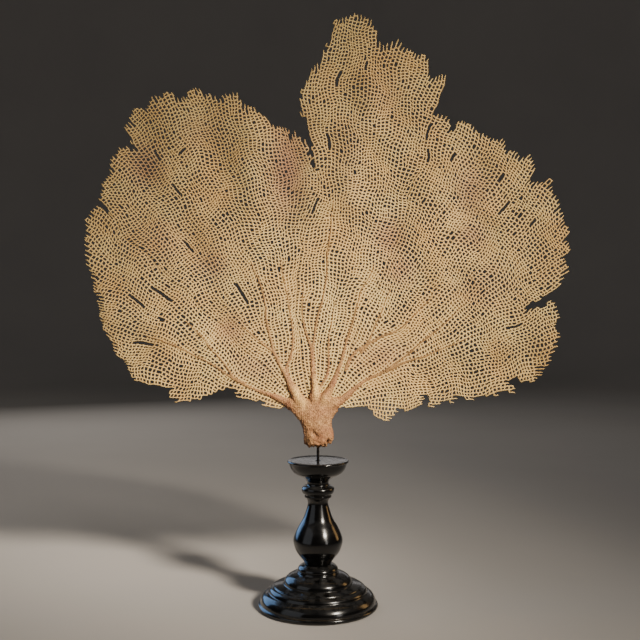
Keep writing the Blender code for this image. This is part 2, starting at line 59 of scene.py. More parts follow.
# Middle, half width, half height and strength of a soft patch
Patch = tuple[float, float, float, float, float]

LOG = logging.getLogger("sea_fan")
MM = 0.001
SEED = 7
# Least length and least square of one to divide by
LEAST_LENGTH, LEAST_SQUARE = 1e-3, 1e-9
# Usual distance between two strands of the net
NET_PITCH = 3.06

# The arc across the top of the trunk where the branches begin
ROOT_MIDDLE, ROOT_HALF_WIDTH, ROOT_LOW, ROOT_RISE = -4.0, 24.5, 177.2, 10.0

# Strand lines from the trunk outwards, in order from the low left edge round to the low right
GUIDES: dict[str, list[Point]] = {
    "low_left_edge": [(-28.5, 177.2), (-45, 177), (-75, 182), (-115, 180), (-160, 177), (-220, 172)],
    "low_left": [(-26, 179.2), (-45, 184), (-80, 193), (-120, 203), (-165, 214), (-225, 225)],
    "rib_a": [(-23, 181.2), (-40, 189), (-62, 197), (-78, 206), (-93, 216), (-110, 225),
              (-128, 234), (-150, 241.5), (-195, 256), (-230, 268)],
    "rib_a_upper": [(-23, 181.2), (-40, 189), (-62, 198.5), (-75, 205), (-81, 213), (-90, 224),
                    (-98, 233), (-106, 244), (-140, 275), (-180, 302), (-230, 330)],
    "fork_far_left": [(-20.5, 182.7), (-28, 193), (-40, 206), (-54, 220), (-72, 235), (-92, 253),
                      (-118, 279), (-150, 309), (-175, 334), (-190.5, 354.5), (-225, 395)],
    "rib_b_left": [(-17, 184.4), (-20, 190), (-25, 200), (-30, 210), (-34, 217), (-40, 228),
                   (-47.5, 234), (-55, 241), (-64, 249), (-72, 254), (-83, 266), (-120, 320),
                   (-160, 372), (-200, 425)],
    "rib_b": [(-17, 184.4), (-20, 190), (-25, 200), (-30, 210), (-34, 217), (-39, 227),
              (-42, 237), (-45, 250), (-47.5, 263), (-49, 278), (-53, 293), (-58, 303),
              (-64, 318), (-82, 355), (-107, 405), (-140, 480)],
    "rib_b_right": [(-17, 184.4), (-20, 190), (-24.5, 200), (-27.5, 210), (-28, 217), (-25, 224),
                    (-23, 234), (-23, 249), (-25, 266), (-30, 293), (-42, 345), (-58, 405), (-75, 480)],
    "fork_left": [(-9, 186.8), (-12, 200), (-15, 218), (-17, 240), (-19, 262), (-20, 285),
                  (-19, 310), (-15, 335), (-8, 360), (0, 384.5), (-6, 400), (-8.5, 418),
                  (-13, 432), (-25, 455), (-35, 480)],
    "rib_c_left": [(-3, 187.2), (-4, 205), (-5.5, 218), (-6.5, 234), (-11, 246), (-13, 258),
                   (-14, 278), (-12, 310), (-2, 350), (5, 385), (-2, 415), (-11, 440),
                   (-14.5, 465), (-10, 490), (0, 520), (8, 560)],
    "rib_c": [(-3, 187.2), (-3, 195), (-5, 216), (-4.4, 233), (-1, 258), (3, 272.5), (6, 288),
              (8.5, 303), (9, 319), (11.5, 344), (14, 385), (8, 430), (8, 470), (17, 510), (24, 560)],
    "rib_d": [(-3, 187.2), (0, 194), (5, 202), (8, 208), (9.5, 218), (9.8, 241), (13, 262),
              (22, 310), (30, 370), (32, 430), (36, 480), (42, 560)],
    "centre": [(2, 186.6), (6, 196), (11, 208), (14, 220), (16, 236), (20, 256), (28, 285),
               (38, 330), (47, 390), (52, 440), (57, 490), (66, 550)],
    "rib_e": [(5, 186), (12, 198), (17.5, 211), (21, 221), (25, 236), (30, 253), (36, 271),
              (40, 286), (46, 298), (53, 318), (60, 345), (70, 400), (80, 460), (90, 540)],
    "fork_right": [(8.5, 184.6), (15.5, 197), (21.5, 209), (25, 219), (29, 234), (36.5, 254),
                   (46, 274), (54, 290), (64, 312), (76, 347), (92, 402), (102, 441), (110, 465)],
    "rib_e_right": [(9.5, 184.2), (17, 196.5), (23, 208), (27, 219), (33, 228), (45, 238),
                    (51, 251), (56, 263), (61, 278), (68, 289), (95, 340), (122, 400), (142, 450)],
    "rib_f": [(10.5, 183.8), (18, 195.5), (24.5, 206.5), (30, 217), (37, 226), (45, 236),
              (58, 243), (70, 248), (82, 257), (95, 270), (125, 308), (163, 357), (205, 415)],
    "fork_far_right": [(11.5, 183.2), (20, 193), (32, 206), (46, 219), (60, 228), (76, 238),
                       (92, 251), (108, 267), (128, 292), (150, 324), (171, 356), (191, 384), (215, 420)],
    "rib_g": [(13.5, 182), (23, 187), (33, 196), (43, 203.5), (55, 209), (68, 216.5), (78, 224),
              (88, 234), (100, 243), (113, 254), (125, 266), (150, 292), (190, 345), (240, 400)],
    "rib_g_lower": [(13.5, 182), (23, 187), (33, 196), (43, 203.5), (55, 208.5), (72, 216),
                    (88, 223), (100, 227), (116, 234), (130, 239), (180, 262.5), (240, 290)],
    "low_right": [(16, 180.5), (33, 191), (54, 201), (78, 207), (100, 210), (150, 222),
                  (200, 244), (245, 264)],
    "lower_right": [(18.3, 178.9), (30, 184), (50, 189), (75, 192), (100, 195), (140, 199),
                    (185, 210), (240, 226)],
    "low_right_edge": [(20.5, 177.2), (36, 176), (52, 168), (64, 163), (85, 168), (110, 174),
                       (150, 178), (190, 184), (245, 196)],
}

# Ribs: guide, where they start and fade along it, radius at the start and far out
RIBS: list[tuple[str, float, float, float, float]] = [
    ("rib_a", 0, 150, 3.2, 0.8), ("rib_a_upper", 46, 128, 1.6, 0.65), ("rib_b", 0, 136, 4.2, 0.8),
    ("rib_b_left", 36, 88, 1.8, 0.7), ("rib_b_right", 24, 135, 1.6, 0.65), ("rib_c", 0, 182, 3.4, 0.8),
    ("rib_c_left", 30, 110, 1.4, 0.65), ("rib_d", 4, 95, 1.6, 0.65), ("rib_e", 0, 134, 3.4, 0.8),
    ("rib_e_right", 32, 120, 1.8, 0.7), ("rib_f", 52, 138, 1.6, 0.65), ("rib_g", 0, 150, 3.4, 0.8),
    ("rib_g_lower", 56, 145, 1.7, 0.65),
]
# A rib has lost half of its extra thickness at this distance from its start, by this power
RIB_HALF_LENGTH, RIB_TAPER = 27.0, 2.3
# Length of the straight pieces by which distances from a rib are measured
RIB_READ_STEP = 8.0

# Outer margin of the whole net, clockwise from the trunk's left side
MARGIN: list[Point] = [
    (-28, 178.5), (-48, 179), (-50, 181.5), (-57, 186), (-61, 187), (-72, 186.5), (-74, 190), (-75, 194.5),
    (-84, 195.5), (-90, 193.5), (-95, 191), (-102, 188.5), (-107, 186.5), (-112, 184.5), (-130, 184),
    (-134, 188), (-137, 194), (-141, 195), (-143, 197.5), (-153, 197.5), (-156, 202), (-160, 200.5),
    (-167, 203.5), (-170, 210), (-173, 213.5), (-171, 216), (-175.5, 220), (-180, 222.5), (-182, 226),
    (-186, 232.5), (-185.5, 235), (-190, 243), (-195, 250), (-196.5, 258), (-199, 265), (-200, 275),
    (-197, 278), (-203, 282), (-204, 290), (-206, 297), (-209, 305), (-212, 306), (-210, 310),
    (-213, 314), (-211, 322), (-213, 334), (-211, 341), (-213.5, 343), (-212.5, 349), (-209, 351.5),
    (-208, 356), (-204, 359), (-200.5, 361), (-191, 353.5), (-190, 355.5), (-199, 368), (-195.5, 378),
    (-196, 382), (-192.5, 387.5), (-189, 391), (-190, 400), (-188, 404), (-186.5, 407), (-184, 405),
    (-185, 409), (-181, 412), (-180.5, 416), (-178, 414), (-174.5, 415), (-172, 412), (-170, 409),
    (-166.5, 403), (-167, 408), (-168.5, 417), (-172, 424), (-176, 433), (-174, 436), (-171.5, 438),
    (-171, 442), (-169, 444), (-169.5, 448), (-166, 450), (-160, 449), (-158, 446.5), (-154, 450),
    (-153, 454), (-151.5, 459), (-148, 461), (-144, 460), (-136, 464), (-132, 463), (-130, 460),
    (-127, 458.5), (-120, 459.5), (-117, 464), (-111, 467.5), (-108, 466.5), (-104, 460.5), (-100, 462.5),
    (-94, 461), (-88, 456.5), (-86, 460), (-83, 461.5), (-76, 462.5), (-73, 461.5), (-68, 454.5),
    (-66, 451), (-62, 451.5), (-58, 449), (-55, 445.5), (-51, 442), (-47, 440), (-44, 436.5), (-42, 433),
    (-35, 432.5), (-25, 430), (-28, 418), (-26, 417), (-23, 427), (-21, 429), (-19, 425.5), (-13, 422),
    (-11, 418), (-9.5, 412), (-8, 407), (-6.5, 400), (-5, 396), (-3, 391), (0, 384.5), (-0.5, 390),
    (-2.5, 395), (-5.5, 405), (-6.5, 410), (-6, 421), (-8.5, 431), (-14, 441), (-16, 447), (-16, 458),
    (-15.5, 463), (-14, 466), (-12, 471), (-8, 476), (-6, 484), (-3, 486), (-1, 488.5), (1, 487),
    (4, 488), (4.5, 500), (7, 501), (8, 506), (11, 508), (12, 512), (14, 516), (14.5, 526), (18, 528),
    (25, 530.5), (28, 530), (31, 533), (35, 535), (39, 532.5), (46, 530), (48.5, 527), (50, 520),
    (53, 517), (55, 513), (54.5, 509), (56, 506), (62, 504.5), (63, 507.5), (66, 507), (71.5, 511),
    (74, 509), (75.5, 505), (77.5, 502), (82, 502), (87, 496.5), (93, 497), (99, 492.5), (100.5, 486),
    (100, 478), (103, 476), (109, 477.5), (112, 479), (115, 476), (113, 468), (110, 465.5), (109.5, 455),
    (108, 450), (103, 445), (102, 441), (105, 442), (108, 443), (111, 441), (117, 441), (118, 436),
    (119, 430), (121.5, 422), (123, 426), (124.5, 431), (126, 436), (130, 436), (139, 432), (143, 427),
    (146, 424.5), (150, 424), (153, 421), (162, 419), (166, 420), (168, 417.5), (165, 409), (168, 410),
    (178, 410.5), (180, 407), (180.5, 402.5), (184, 404), (191, 406), (193, 396), (193.5, 392),
    (190.5, 386), (191, 383), (197, 382), (200, 380), (204, 381.5), (207, 384), (209.5, 382.5),
    (208.5, 377), (209, 373), (214.5, 366), (215.5, 358), (218.5, 356), (219, 347), (221, 342),
    (226, 337.5), (222, 335), (220, 331), (222, 328), (225, 325.5), (224.5, 321), (220, 315),
    (222, 307), (223.5, 303), (222.5, 299), (219, 296), (216, 289), (213, 287), (210, 283), (206, 281),
    (202, 280.5), (201, 277), (198, 274), (190, 273), (186, 268), (183, 265), (187, 266.5), (195, 268.5),
    (199, 268.5), (205, 272.5), (208.5, 274.5), (213, 272), (213, 268), (215.5, 265), (215.5, 261),
    (213, 258), (213, 255), (211, 251), (215, 247), (216, 243), (214, 240), (215, 237), (213, 234),
    (209, 226), (208.5, 220), (206, 217), (202, 213.5), (200, 207.5), (196, 206.5), (193, 203),
    (182, 202.5), (177, 205), (173, 205), (170, 201), (175, 198), (177, 192.5), (168, 193.5), (163, 192),
    (158, 190), (153, 190), (148, 188.5), (143, 186.5), (138, 186.5), (128, 188), (124, 187), (122, 184),
    (112, 184), (108, 182), (104, 179), (100, 179), (99, 182), (99.5, 187), (98, 190), (90, 191),
    (94, 189), (96, 187), (94, 185.5), (94, 182), (92, 180), (84, 177.5), (80, 175.5), (74, 176.5),
    (71, 175), (69, 172), (66, 170.5), (66, 168), (64, 166), (61, 166.5), (54, 168.5), (52, 170.5),
    (50.5, 173), (49.5, 176), (47, 178), (44, 179), (36, 179), (31, 177), (25, 178.5), (20.5, 177),
    (12, 182.5), (3, 186.4), (-4, 187.2), (-14, 185.5), (-22, 181.8),
]

# Tears and worn holes in the net: the line that each runs along and its half width
TEARS: list[tuple[list[Point], float]] = [
    ([(-147, 410), (-142.5, 404.5)], 1.5), ([(-125, 409), (-121.5, 413.5)], 1.6),
    ([(-129, 378), (-123.5, 370.5)], 1.2), ([(-123, 329), (-110, 318.5)], 1.4),
    ([(-146, 291), (-136, 273)], 1.2), ([(-172, 278), (-165, 277), (-160, 272.5)], 1.3),
    ([(-144, 258), (-140, 254.5)], 1.8), ([(-163, 238), (-150, 236.5)], 1.3),
    ([(-132, 194.5), (-127.5, 196.5)], 1.5),
    ([(-75, 290), (-61.5, 275)], 1.2), ([(-2, 365), (-0.5, 358)], 1.2),
    ([(15.5, 478), (17, 470.5)], 1.4), ([(42.5, 488), (42.5, 483)], 1.2),
    ([(7.5, 423), (9.5, 414.5)], 1.4), ([(99, 430), (95.5, 422)], 1.2),
    ([(95, 408), (99.5, 406), (99.5, 400.5)], 1.3), ([(122, 405), (120, 400)], 1.2),
    ([(96.5, 366), (93, 362)], 1.2), ([(165, 388), (161, 385)], 1.2), ([(169, 360), (163, 353)], 1.3),
    ([(194, 348), (190.5, 345)], 1.2), ([(179, 256), (178.5, 252), (173, 250.5)], 1.3),
]

# Folds of the blade: both ends of the fold line, its half width and how far it lies back
FOLDS: list[tuple[Point, Point, float, float]] = [
    ((-57, 365), (-60, 425), 16, -5.0), ((28, 365), (32, 425), 14, -5.0),
    ((48, 430), (46, 475), 12, -4.0), ((-30, 345), (-22, 430), 17, 6.0),
    ((-158, 385), (-160, 415), 18, 5.0), ((-100, 300), (-120, 335), 16, 4.5),
    ((-80, 245), (-92, 262), 14, 3.5), ((64, 330), (76, 365), 14, 4.5),
    ((128, 360), (145, 392), 16, 5.0), ((138, 325), (150, 340), 13, 3.5),
    ((-140, 250), (-185, 262), 16, -4.0), ((110, 300), (150, 350), 12, -3.0),
    ((100, 205), (190, 222), 15, 4.0), ((-90, 400), (-105, 455), 15, 4.0),
]

# Browner places of the net, partly stains and partly painted shade on the folds: middle, half width, half
# height, strength
STAINS_AND_FOLD_SHADE: list[Patch] = [
    (-28, 395, 17, 42, 0.95), (-158, 398, 16, 20, 0.75), (-97, 307, 15, 14, 0.55), (-79, 249, 13, 12, 0.6),
    (63, 333, 14, 20, 0.65), (75, 303, 14, 14, 0.6), (137, 376, 16, 24, 0.62), (138, 334, 14, 12, 0.6),
    (-140, 330, 26, 20, 0.3), (-55, 215, 20, 12, 0.45), (60, 225, 26, 14, 0.45), (150, 290, 26, 18, 0.3),
    (30, 400, 12, 40, 0.25), (-110, 430, 22, 18, 0.25), (60, 455, 16, 22, 0.25),
]

# Painted highlights on the ribs by the trunk, yellower where they face the light, written the same way
RIB_HIGHLIGHTS: list[Patch] = [
    (-18.5, 191, 5, 8, 0.9), (-13, 184, 5, 5, 0.6), (-1.5, 197, 4, 9, 0.9), (-33, 217, 4, 7, 0.6),
    (5, 187, 4, 4, 0.35), (14, 190, 5, 6, 0.35),
]

# Half outlines of the two turnings, radius and height, in smooth runs that meet at crisp corners
FOOT_RUNS: list[list[Point]] = [
    [(0.0, 0.0), (51.2, 0.0)],
    [(51.2, 0.0), (53.0, 0.6), (54.0, 2.2), (53.3, 3.8), (51.9, 4.6)],
    [(51.9, 4.6), (51.9, 6.0)],
    [(51.9, 6.0), (51.2, 8.4), (49.4, 11.2), (47.0, 13.0), (44.4, 14.0)],
    [(44.4, 14.0), (44.0, 14.6)],
    [(44.0, 14.6), (43.6, 16.0), (42.4, 17.5), (41.2, 18.2), (39.9, 18.5)],
    [(39.9, 18.5), (39.3, 19.0)],
    [(39.3, 19.0), (39.0, 19.7)],
    [(39.0, 19.7), (31.2, 20.9)],
    [(31.2, 20.9), (30.6, 21.4)],
    [(30.6, 21.4), (30.3, 23.4), (29.4, 25.4), (27.4, 27.6), (24.6, 29.2), (21.4, 30.1)],
    [(21.4, 30.1), (18.8, 30.4)],
    [(18.8, 30.4), (18.3, 30.9), (18.2, 31.8)],
    [(18.2, 31.8), (17.8, 32.3)],
    [(17.8, 32.3), (18.2, 33.6), (17.6, 35.4), (15.8, 37.2), (13.0, 38.2)],
    [(13.0, 38.2), (0.0, 38.2)],
]
STEM_RUNS: list[list[Point]] = [
    [(0.0, 38.5), (11.5, 38.5)],
    [(11.5, 38.5), (11.9, 39.4), (13.1, 41.5), (15.8, 44.7), (19.5, 49.8), (21.6, 55.3), (22.2, 60.3),
     (20.4, 66.3), (17.2, 72.7), (13.5, 79.0), (10.8, 86.5), (9.2, 92.4), (9.4, 95.0), (10.8, 97.8)],
    [(10.8, 97.8), (12.0, 98.4), (12.2, 99.6), (12.0, 100.8)],
    [(12.0, 100.8), (12.4, 101.2)],
    [(12.4, 101.2), (13.8, 102.4), (14.6, 104.6), (14.4, 106.6), (13.0, 108.2), (10.6, 109.0)],
    [(10.6, 109.0), (9.9, 109.4)],
    [(9.9, 109.4), (9.6, 111.0), (10.0, 112.8), (12.2, 115.2), (16.8, 117.6), (21.6, 120.4),
     (24.4, 124.0), (25.8, 127.6), (26.3, 129.4)],
    [(26.3, 129.4), (27.2, 129.6), (27.6, 130.4), (27.4, 131.2), (26.8, 131.6)],
    [(26.8, 131.6), (25.6, 131.45), (21.0, 131.15), (9.0, 130.95), (2.4, 130.9)],
    [(2.4, 130.9), (1.5, 130.2)],
    [(1.5, 130.2), (1.5, 120.0)],
    [(1.5, 120.0), (0.0, 120.0)],
]

GUIDE_NAMES = list(GUIDES)
RIB_ENDS = {name: end for name, _, end, _, _ in RIBS}

# The blade is flat by the trunk, up to this height and half width, and takes its folds over the next stretch
FLAT_TOP, FLAT_SIDE, FLAT_FADE = 190.0, 30.0, 60.0
# Curl of the outer left and right, and how far out it has its full size
CURL_LEFT, CURL_RIGHT, CURL_AT = 9.0, -7.0, 215.0
# Crossed waves: size, length across, sway and its length, length up, slant
RIPPLE = (0.55, 7.3, 1.7, 31.0, 11.0, 37.0)
UNEVEN = (1.0, 13.0, 1.9, 23.0, 17.0, -41.0)

# Drift of the strands: where it starts from the trunk and over what length it comes in
DRIFT_SPAN: Span = (40.0, 60.0)
# Its waves sideways and up: size, length across, length up
DRIFT_SIDEWAYS: tuple[Triple, ...] = ((1.5, 9.3, 13.7), (1.0, -19.0, 6.3), (0.4, 5.1, 2.9))
DRIFT_UP: tuple[Triple, ...] = ((1.7, 8.9, -17.1), (1.0, 5.9, 10.7), (0.4, 2.7, -6.1))

# Extra thickness of strands by the trunk and along the ribs, and over what distance each fades
BY_TRUNK, TRUNK_FADE, BY_RIB, RIB_FADE = 0.3, 16.0, 0.34, 6.5
# Extra thickness low on the right side, and how uneven the thickness is all over
THICK_PATCH: Patch = (62, 216, 38, 24, 0.25)
UNEVEN_SHARE = 0.15

# Fine parts of each curved stretch of a given line
CURVE_PARTS = 12
SHARP_ANGLE = math.radians(50.0)
UNIT: Span = (0.0, 1.0)


class Slot(Enum):
    """Material slots of the record."""

    LACQUER = "stand_lacquer"
    STEEL = "pin_steel"
    TRUNK = "coral_trunk"
    NET = "coral_net"


# Lines and places in the plane of the fan


def rounded(points: Sequence[Point], step: float) -> np.ndarray:
    """Smooth a given line into even steps.

    Args:
        points: corners of the line.
        step: distance between the points that come back.

    Returns:
        The points, one row each.
    """
    pts = np.array(points, float)
    ends = np.vstack([2 * pts[0] - pts[1], pts, 2 * pts[-1] - pts[-2]])
    parts = np.linspace(0.0, 1.0, CURVE_PARTS, endpoint=False)[:, None]
    # The usual cubic through the middle two of four points in a row
    runs = [0.5 * (2 * p1 + (p2 - p0) * parts + (2 * p0 - 5 * p1 + 4 * p2 - p3) * parts ** 2
                   + (3 * p1 - p0 - 3 * p2 + p3) * parts ** 3)
            for p0, p1, p2, p3 in zip(ends, ends[1:], ends[2:], ends[3:])]
    fine = np.vstack(runs + [pts[-1:]])
    along = np.concatenate([[0.0], np.cumsum(gaps_between(fine))])
    even = np.arange(0.0, along[-1], step)
    return np.column_stack([np.interp(even, along, fine[:, k]) for k in range(pts.shape[1])])


def gaps_between(points: np.ndarray) -> np.ndarray:
    """Distances from each point to the next."""
    return np.linalg.norm(np.diff(points, axis=0), axis=1)


def sides(ring: Sequence) -> Iterable[tuple]:
    """The sides of a closed ring, as pairs of its corners."""
    return zip(ring, [*ring[1:], ring[0]])


def ramp(values: np.ndarray, span: Span) -> np.ndarray:
    """Rise from 0 at the span's start to 1 after its length; a negative length rises downwards."""
    start, length = span
    return np.clip((values - start) / length, 0.0, 1.0)


def line_distance(points: np.ndarray, a: Point, b: Point) -> np.ndarray:
    """Distance of many points from a straight piece of line.

    Args:
        points: the points, one row each.
        a: one end.
        b: the other end.

    Returns:
        One distance for each point.
    """
    start, run = np.array(a, float), np.array(b, float) - np.array(a, float)
    share = np.clip((points - start) @ run / max(float(run @ run), LEAST_SQUARE), 0.0, 1.0)
    return np.linalg.norm(points - start - share[:, None] * run, axis=1)


def path_distance(points: np.ndarray, path: Sequence[Point]) -> np.ndarray:
    """Distance of many points from a line with corners."""
    return np.min([line_distance(points, a, b) for a, b in zip(path, path[1:])], axis=0)


def root_distance(points: np.ndarray) -> np.ndarray:
    """Distance of many points from where the coral's ribs begin."""
    return np.hypot(points[:, 0] - ROOT_MIDDLE, points[:, 1] - ROOT_LOW)


def within(points: np.ndarray, outline: Sequence[Point]) -> np.ndarray:
    """Which points lie inside a closed outline.

    Args:
        points: the points, one row each.
        outline: corners in order.

    Returns:
        A truth value for each point.
    """
    hit = np.zeros(len(points), bool)
    x, z = points[:, 0], points[:, 1]
    for (x1, z1), (x2, z2) in sides(outline):
        if z1 == z2:
            continue
        crosses = (z1 > z) != (z2 > z)
        hit ^= crosses & (x < x1 + (z - z1) * (x2 - x1) / (z2 - z1))
    return hit


def root_height(x: float) -> float:
    """Height of the arc across the top of the trunk."""
    return ROOT_LOW + ROOT_RISE * (1.0 - ((x - ROOT_MIDDLE) / ROOT_HALF_WIDTH) ** 2)


def rib_line(name: str, start: float, end: float, step: float) -> np.ndarray:
    """A rib's stretch of its guide, in even steps."""
    return rounded(GUIDES[name], step)[int(start / step):int(end / step)]


def crossed_waves(points: np.ndarray, size: float, across: float, sway: float, sway_length: float,
                  up: float, slant: float) -> np.ndarray:
    """Uneven bumps and hollows: two crossed waves, one of which sways.

    Args:
        points: places in the plane of the fan, one row each.
        size: height of the bumps.
        across: length of the swaying wave.
        sway: how far it sways.
        sway_length: length over which it sways.
        up: length of the other wave.
        slant: how slowly that wave climbs sideways.

    Returns:
        One value for each point, about zero.
    """
    x, z = points[:, 0], points[:, 1]
    return size * np.sin(x / across + sway * np.sin(z / sway_length)) * np.sin(z / up + x / slant)


def fold_depth(points: np.ndarray) -> np.ndarray:
    """How far the blade's middle surface lies behind the plane of the fan.

    Args:
        points: places in the plane of the fan, one row each.

    Returns:
        One depth for each point, in millimetres.
    """
    x, z = points[:, 0], points[:, 1]
    reach = np.maximum(ramp(z, (FLAT_TOP, FLAT_FADE)), ramp(np.abs(x), (FLAT_SIDE, FLAT_FADE)))
    depth = np.zeros(len(points))
    for a, b, half_width, push in FOLDS:
        depth += push * np.exp(-(line_distance(points, a, b) / half_width) ** 2)
    side = np.where(x < 0, CURL_LEFT, CURL_RIGHT)
    return reach * (depth + side * (x / CURL_AT) ** 2 + crossed_waves(points, *RIPPLE))


def waver(points: np.ndarray) -> np.ndarray:
    """Slow drift of strands and ribs off their guides, nothing at the trunk and full further out.

    Args:
        points: places on the guides, one row each.

    Returns:
        The drift at each place.
    """
    drifts = [sum(size * np.sin(points[:, 0] / across + points[:, 1] / up) for size, across, up in waves)
              for waves in (DRIFT_SIDEWAYS, DRIFT_UP)]
    return np.column_stack(drifts) * ramp(root_distance(points), DRIFT_SPAN)[:, None]


def patches_at(points: np.ndarray, patches: Iterable[Patch]) -> np.ndarray:
    """How strong the strongest of some soft patches is at each place."""
    total = np.zeros(len(points))
    for x, z, wide, tall, strength in patches:
        away = ((points[:, 0] - x) / wide) ** 2 + ((points[:, 1] - z) / tall) ** 2
        total = np.maximum(total, strength * np.exp(-away))
    return total


def thickening_at(points: np.ndarray) -> np.ndarray:
    """How much thicker than usual the strands are at each place.

    Args:
        points: places in the plane of the fan, one row each.

    Returns:
        One factor for each point.
    """
    from_rib = np.min([path_distance(points, rib_line(name, start, end, RIB_READ_STEP))
                       for name, start, end, _, _ in RIBS], axis=0)
    from_root = np.maximum(root_distance(points) - ROOT_HALF_WIDTH, 0.0)
    return (1.0 + BY_TRUNK * np.exp(-from_root / TRUNK_FADE) + BY_RIB * np.exp(-(from_rib / RIB_FADE) ** 2)
            + UNEVEN_SHARE * crossed_waves(points, *UNEVEN) + patches_at(points, [THICK_PATCH]))


# Meshes and objects


def linked(name: str, data: bpy.types.ID) -> bpy.types.Object:
    """A new object in the scene."""
    thing = bpy.data.objects.new(name, data)
    bpy.context.scene.collection.objects.link(thing)
    return thing


def link_mesh(name: str, bm: bmesh.types.BMesh, unit: float = MM) -> bpy.types.Object:
    """Turn a bmesh into a smooth object in metres.

    Args:
        name: the object's name.
        bm: the shape; it is freed here.
        unit: the bmesh's unit in metres.

    Returns:
        The new object.
    """
    bmesh.ops.scale(bm, vec=Vector((unit, unit, unit)), verts=bm.verts)
    mesh = bpy.data.meshes.new(name)
    bm.to_mesh(mesh)
    bm.free()
    mesh.shade_smooth()
    return linked(name, mesh)


def spun(outline: Sequence[Point], steps: int, merge: float) -> bmesh.types.BMesh:
    """Spin a half outline once round the upright axis.

    Args:
        outline: radius and height of each corner.
        steps: sides of the round.
        merge: distance within which points on the axis become one.

    Returns:
        The spun shape.
    """
    bm = bmesh.new()
    verts = [bm.verts.new((radius, 0.0, height)) for radius, height in outline]
    edges = [bm.edges.new(pair) for pair in zip(verts, verts[1:])]
    bmesh.ops.spin(bm, geom=verts + edges, axis=(0, 0, 1), cent=(0, 0, 0), angle=2 * math.pi,
                   steps=steps, use_merge=True)
    bmesh.ops.remove_doubles(bm, verts=bm.verts, dist=merge)
    return bm


def ring_edges(ring: Iterable[bmesh.types.BMVert]) -> list[bmesh.types.BMEdge]:
    """The edges of a new ring."""
    return list(dict.fromkeys(edge for v in ring for edge in v.link_edges))


def skin(bm: bmesh.types.BMesh, rings: Sequence[list[bmesh.types.BMEdge]]) -> None:
    """Bridge each ring to the next, and close both ends."""
    for lower, upper in zip(rings, rings[1:]):
        bmesh.ops.bridge_loops(bm, edges=lower + upper)
    for ring in (rings[0], rings[-1]):
        bmesh.ops.contextual_create(bm, geom=ring)


def place_piece(piece: bpy.types.Object, nodes: Sequence[str]) -> None:
    """Hand a finished piece to the frame.

    Args:
        piece: the finished object.
        nodes: the solids that it stands for.
    """
    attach(piece, "root")
    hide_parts(*nodes)
    piece.data.calc_loop_triangles()
    LOG.info("%s: %d triangles for %s", piece.name, len(piece.data.loop_triangles), ", ".join(nodes))


@dataclass
class Piece:
    """One piece of the visual model, over one of the solids."""

    name: str
    node: str
    slot: Slot

    def build(self, material: bpy.types.Material) -> None:
        """Model the piece and hand it to the frame.

        Args:
            material: what it is made of.
        """
        piece = link_mesh(self.name, self.shape())
        self.refine(piece)
        piece.data.materials.append(material)
        place_piece(piece, [self.node])

    def shape(self) -> bmesh.types.BMesh:
        """The piece's shape, in millimetres."""
        raise NotImplementedError

    def refine(self, piece: bpy.types.Object) -> None:
        """Work on the finished mesh; a piece that is smooth all over needs nothing here."""


# Shader helpers, shared effects and finishes


class Graph:
    """A node tree with short ways to add and join its nodes."""

    def __init__(self, tree: bpy.types.NodeTree) -> None:
        """Keep the tree."""
        self.tree = tree

    def feed(self, node: bpy.types.Node, inputs: Mapping[str | int, object]) -> None:
        """Set a node's inputs to values, or join them to sockets."""
        for key, value in inputs.items():
            if isinstance(value, bpy.types.NodeSocket):
                self.tree.links.new(value, node.inputs[key])
            else:
                node.inputs[key].default_value = value

    def add(self, kind: str, inputs: Mapping[str | int, object] | None = None,
            **settings: object) -> bpy.types.Node:
        """Add a node.

        Args:
            kind: the node's type name.
            inputs: values or sockets for its inputs.
            **settings: the node's own properties.

        Returns:
            The node.
        """
        node = self.tree.nodes.new(kind)
        for key, value in settings.items():
            setattr(node, key, value)
        self.feed(node, inputs or {})
        return node

    def place(self) -> bpy.types.NodeSocket:
        """The place on the object, in its own space."""
        return self.add("ShaderNodeTexCoord").outputs["Object"]

    def stretched(self, vector: bpy.types.NodeSocket, up: float) -> bpy.types.NodeSocket:
        """A vector that changes only slowly with height."""
        return self.add("ShaderNodeMapping", {"Vector": vector, "Scale": (1.0, 1.0, up)}).outputs["Vector"]

    def attribute(self, name: str) -> bpy.types.NodeSocket:
        """A number that the mesh carries."""
        return self.add("ShaderNodeAttribute", attribute_name=name).outputs["Fac"]

    def noise(self, vector: bpy.types.NodeSocket, scale: object, detail: float = 3.0,
              roughness: float = 0.55) -> bpy.types.NodeSocket:
        """Soft noise from 0 to 1 over a vector."""
        return self.add("ShaderNodeTexNoise", {"Vector": vector, "Scale": scale, "Detail": detail,
                                               "Roughness": roughness}).outputs["Fac"]

    def spread(self, value: bpy.types.NodeSocket, span: Span, to: Span = UNIT) -> bpy.types.NodeSocket:
        """Map a value from one range to another, held at its ends."""
        return self.add("ShaderNodeMapRange", {"Value": value, "From Min": span[0], "From Max": span[1],
                                               "To Min": to[0], "To Max": to[1]}).outputs["Result"]

    def maths(self, operation: str, a: object, b: object) -> bpy.types.NodeSocket:
        """Join two values by a sum, a product and the like."""
        return self.add("ShaderNodeMath", {0: a, 1: b}, operation=operation).outputs[0]

    def blend(self, share: object, a: object, b: object, how: str = "MIX") -> bpy.types.NodeSocket:
        """Mix two colours.

        Args:
            share: how much of the second.
            a: the first colour or socket.
            b: the second colour or socket.
            how: the blend type.

        Returns:
            The mixed colour.
        """
        return self.add("ShaderNodeMix", {0: share, 6: a, 7: b}, data_type="RGBA", blend_type=how).outputs[2]

    def bump(self, height: bpy.types.NodeSocket, strength: float, distance: float) -> bpy.types.NodeSocket:
        """The normal over a height."""
        return self.add("ShaderNodeBump", {"Strength": strength, "Distance": distance,
                                           "Height": height}).outputs["Normal"]


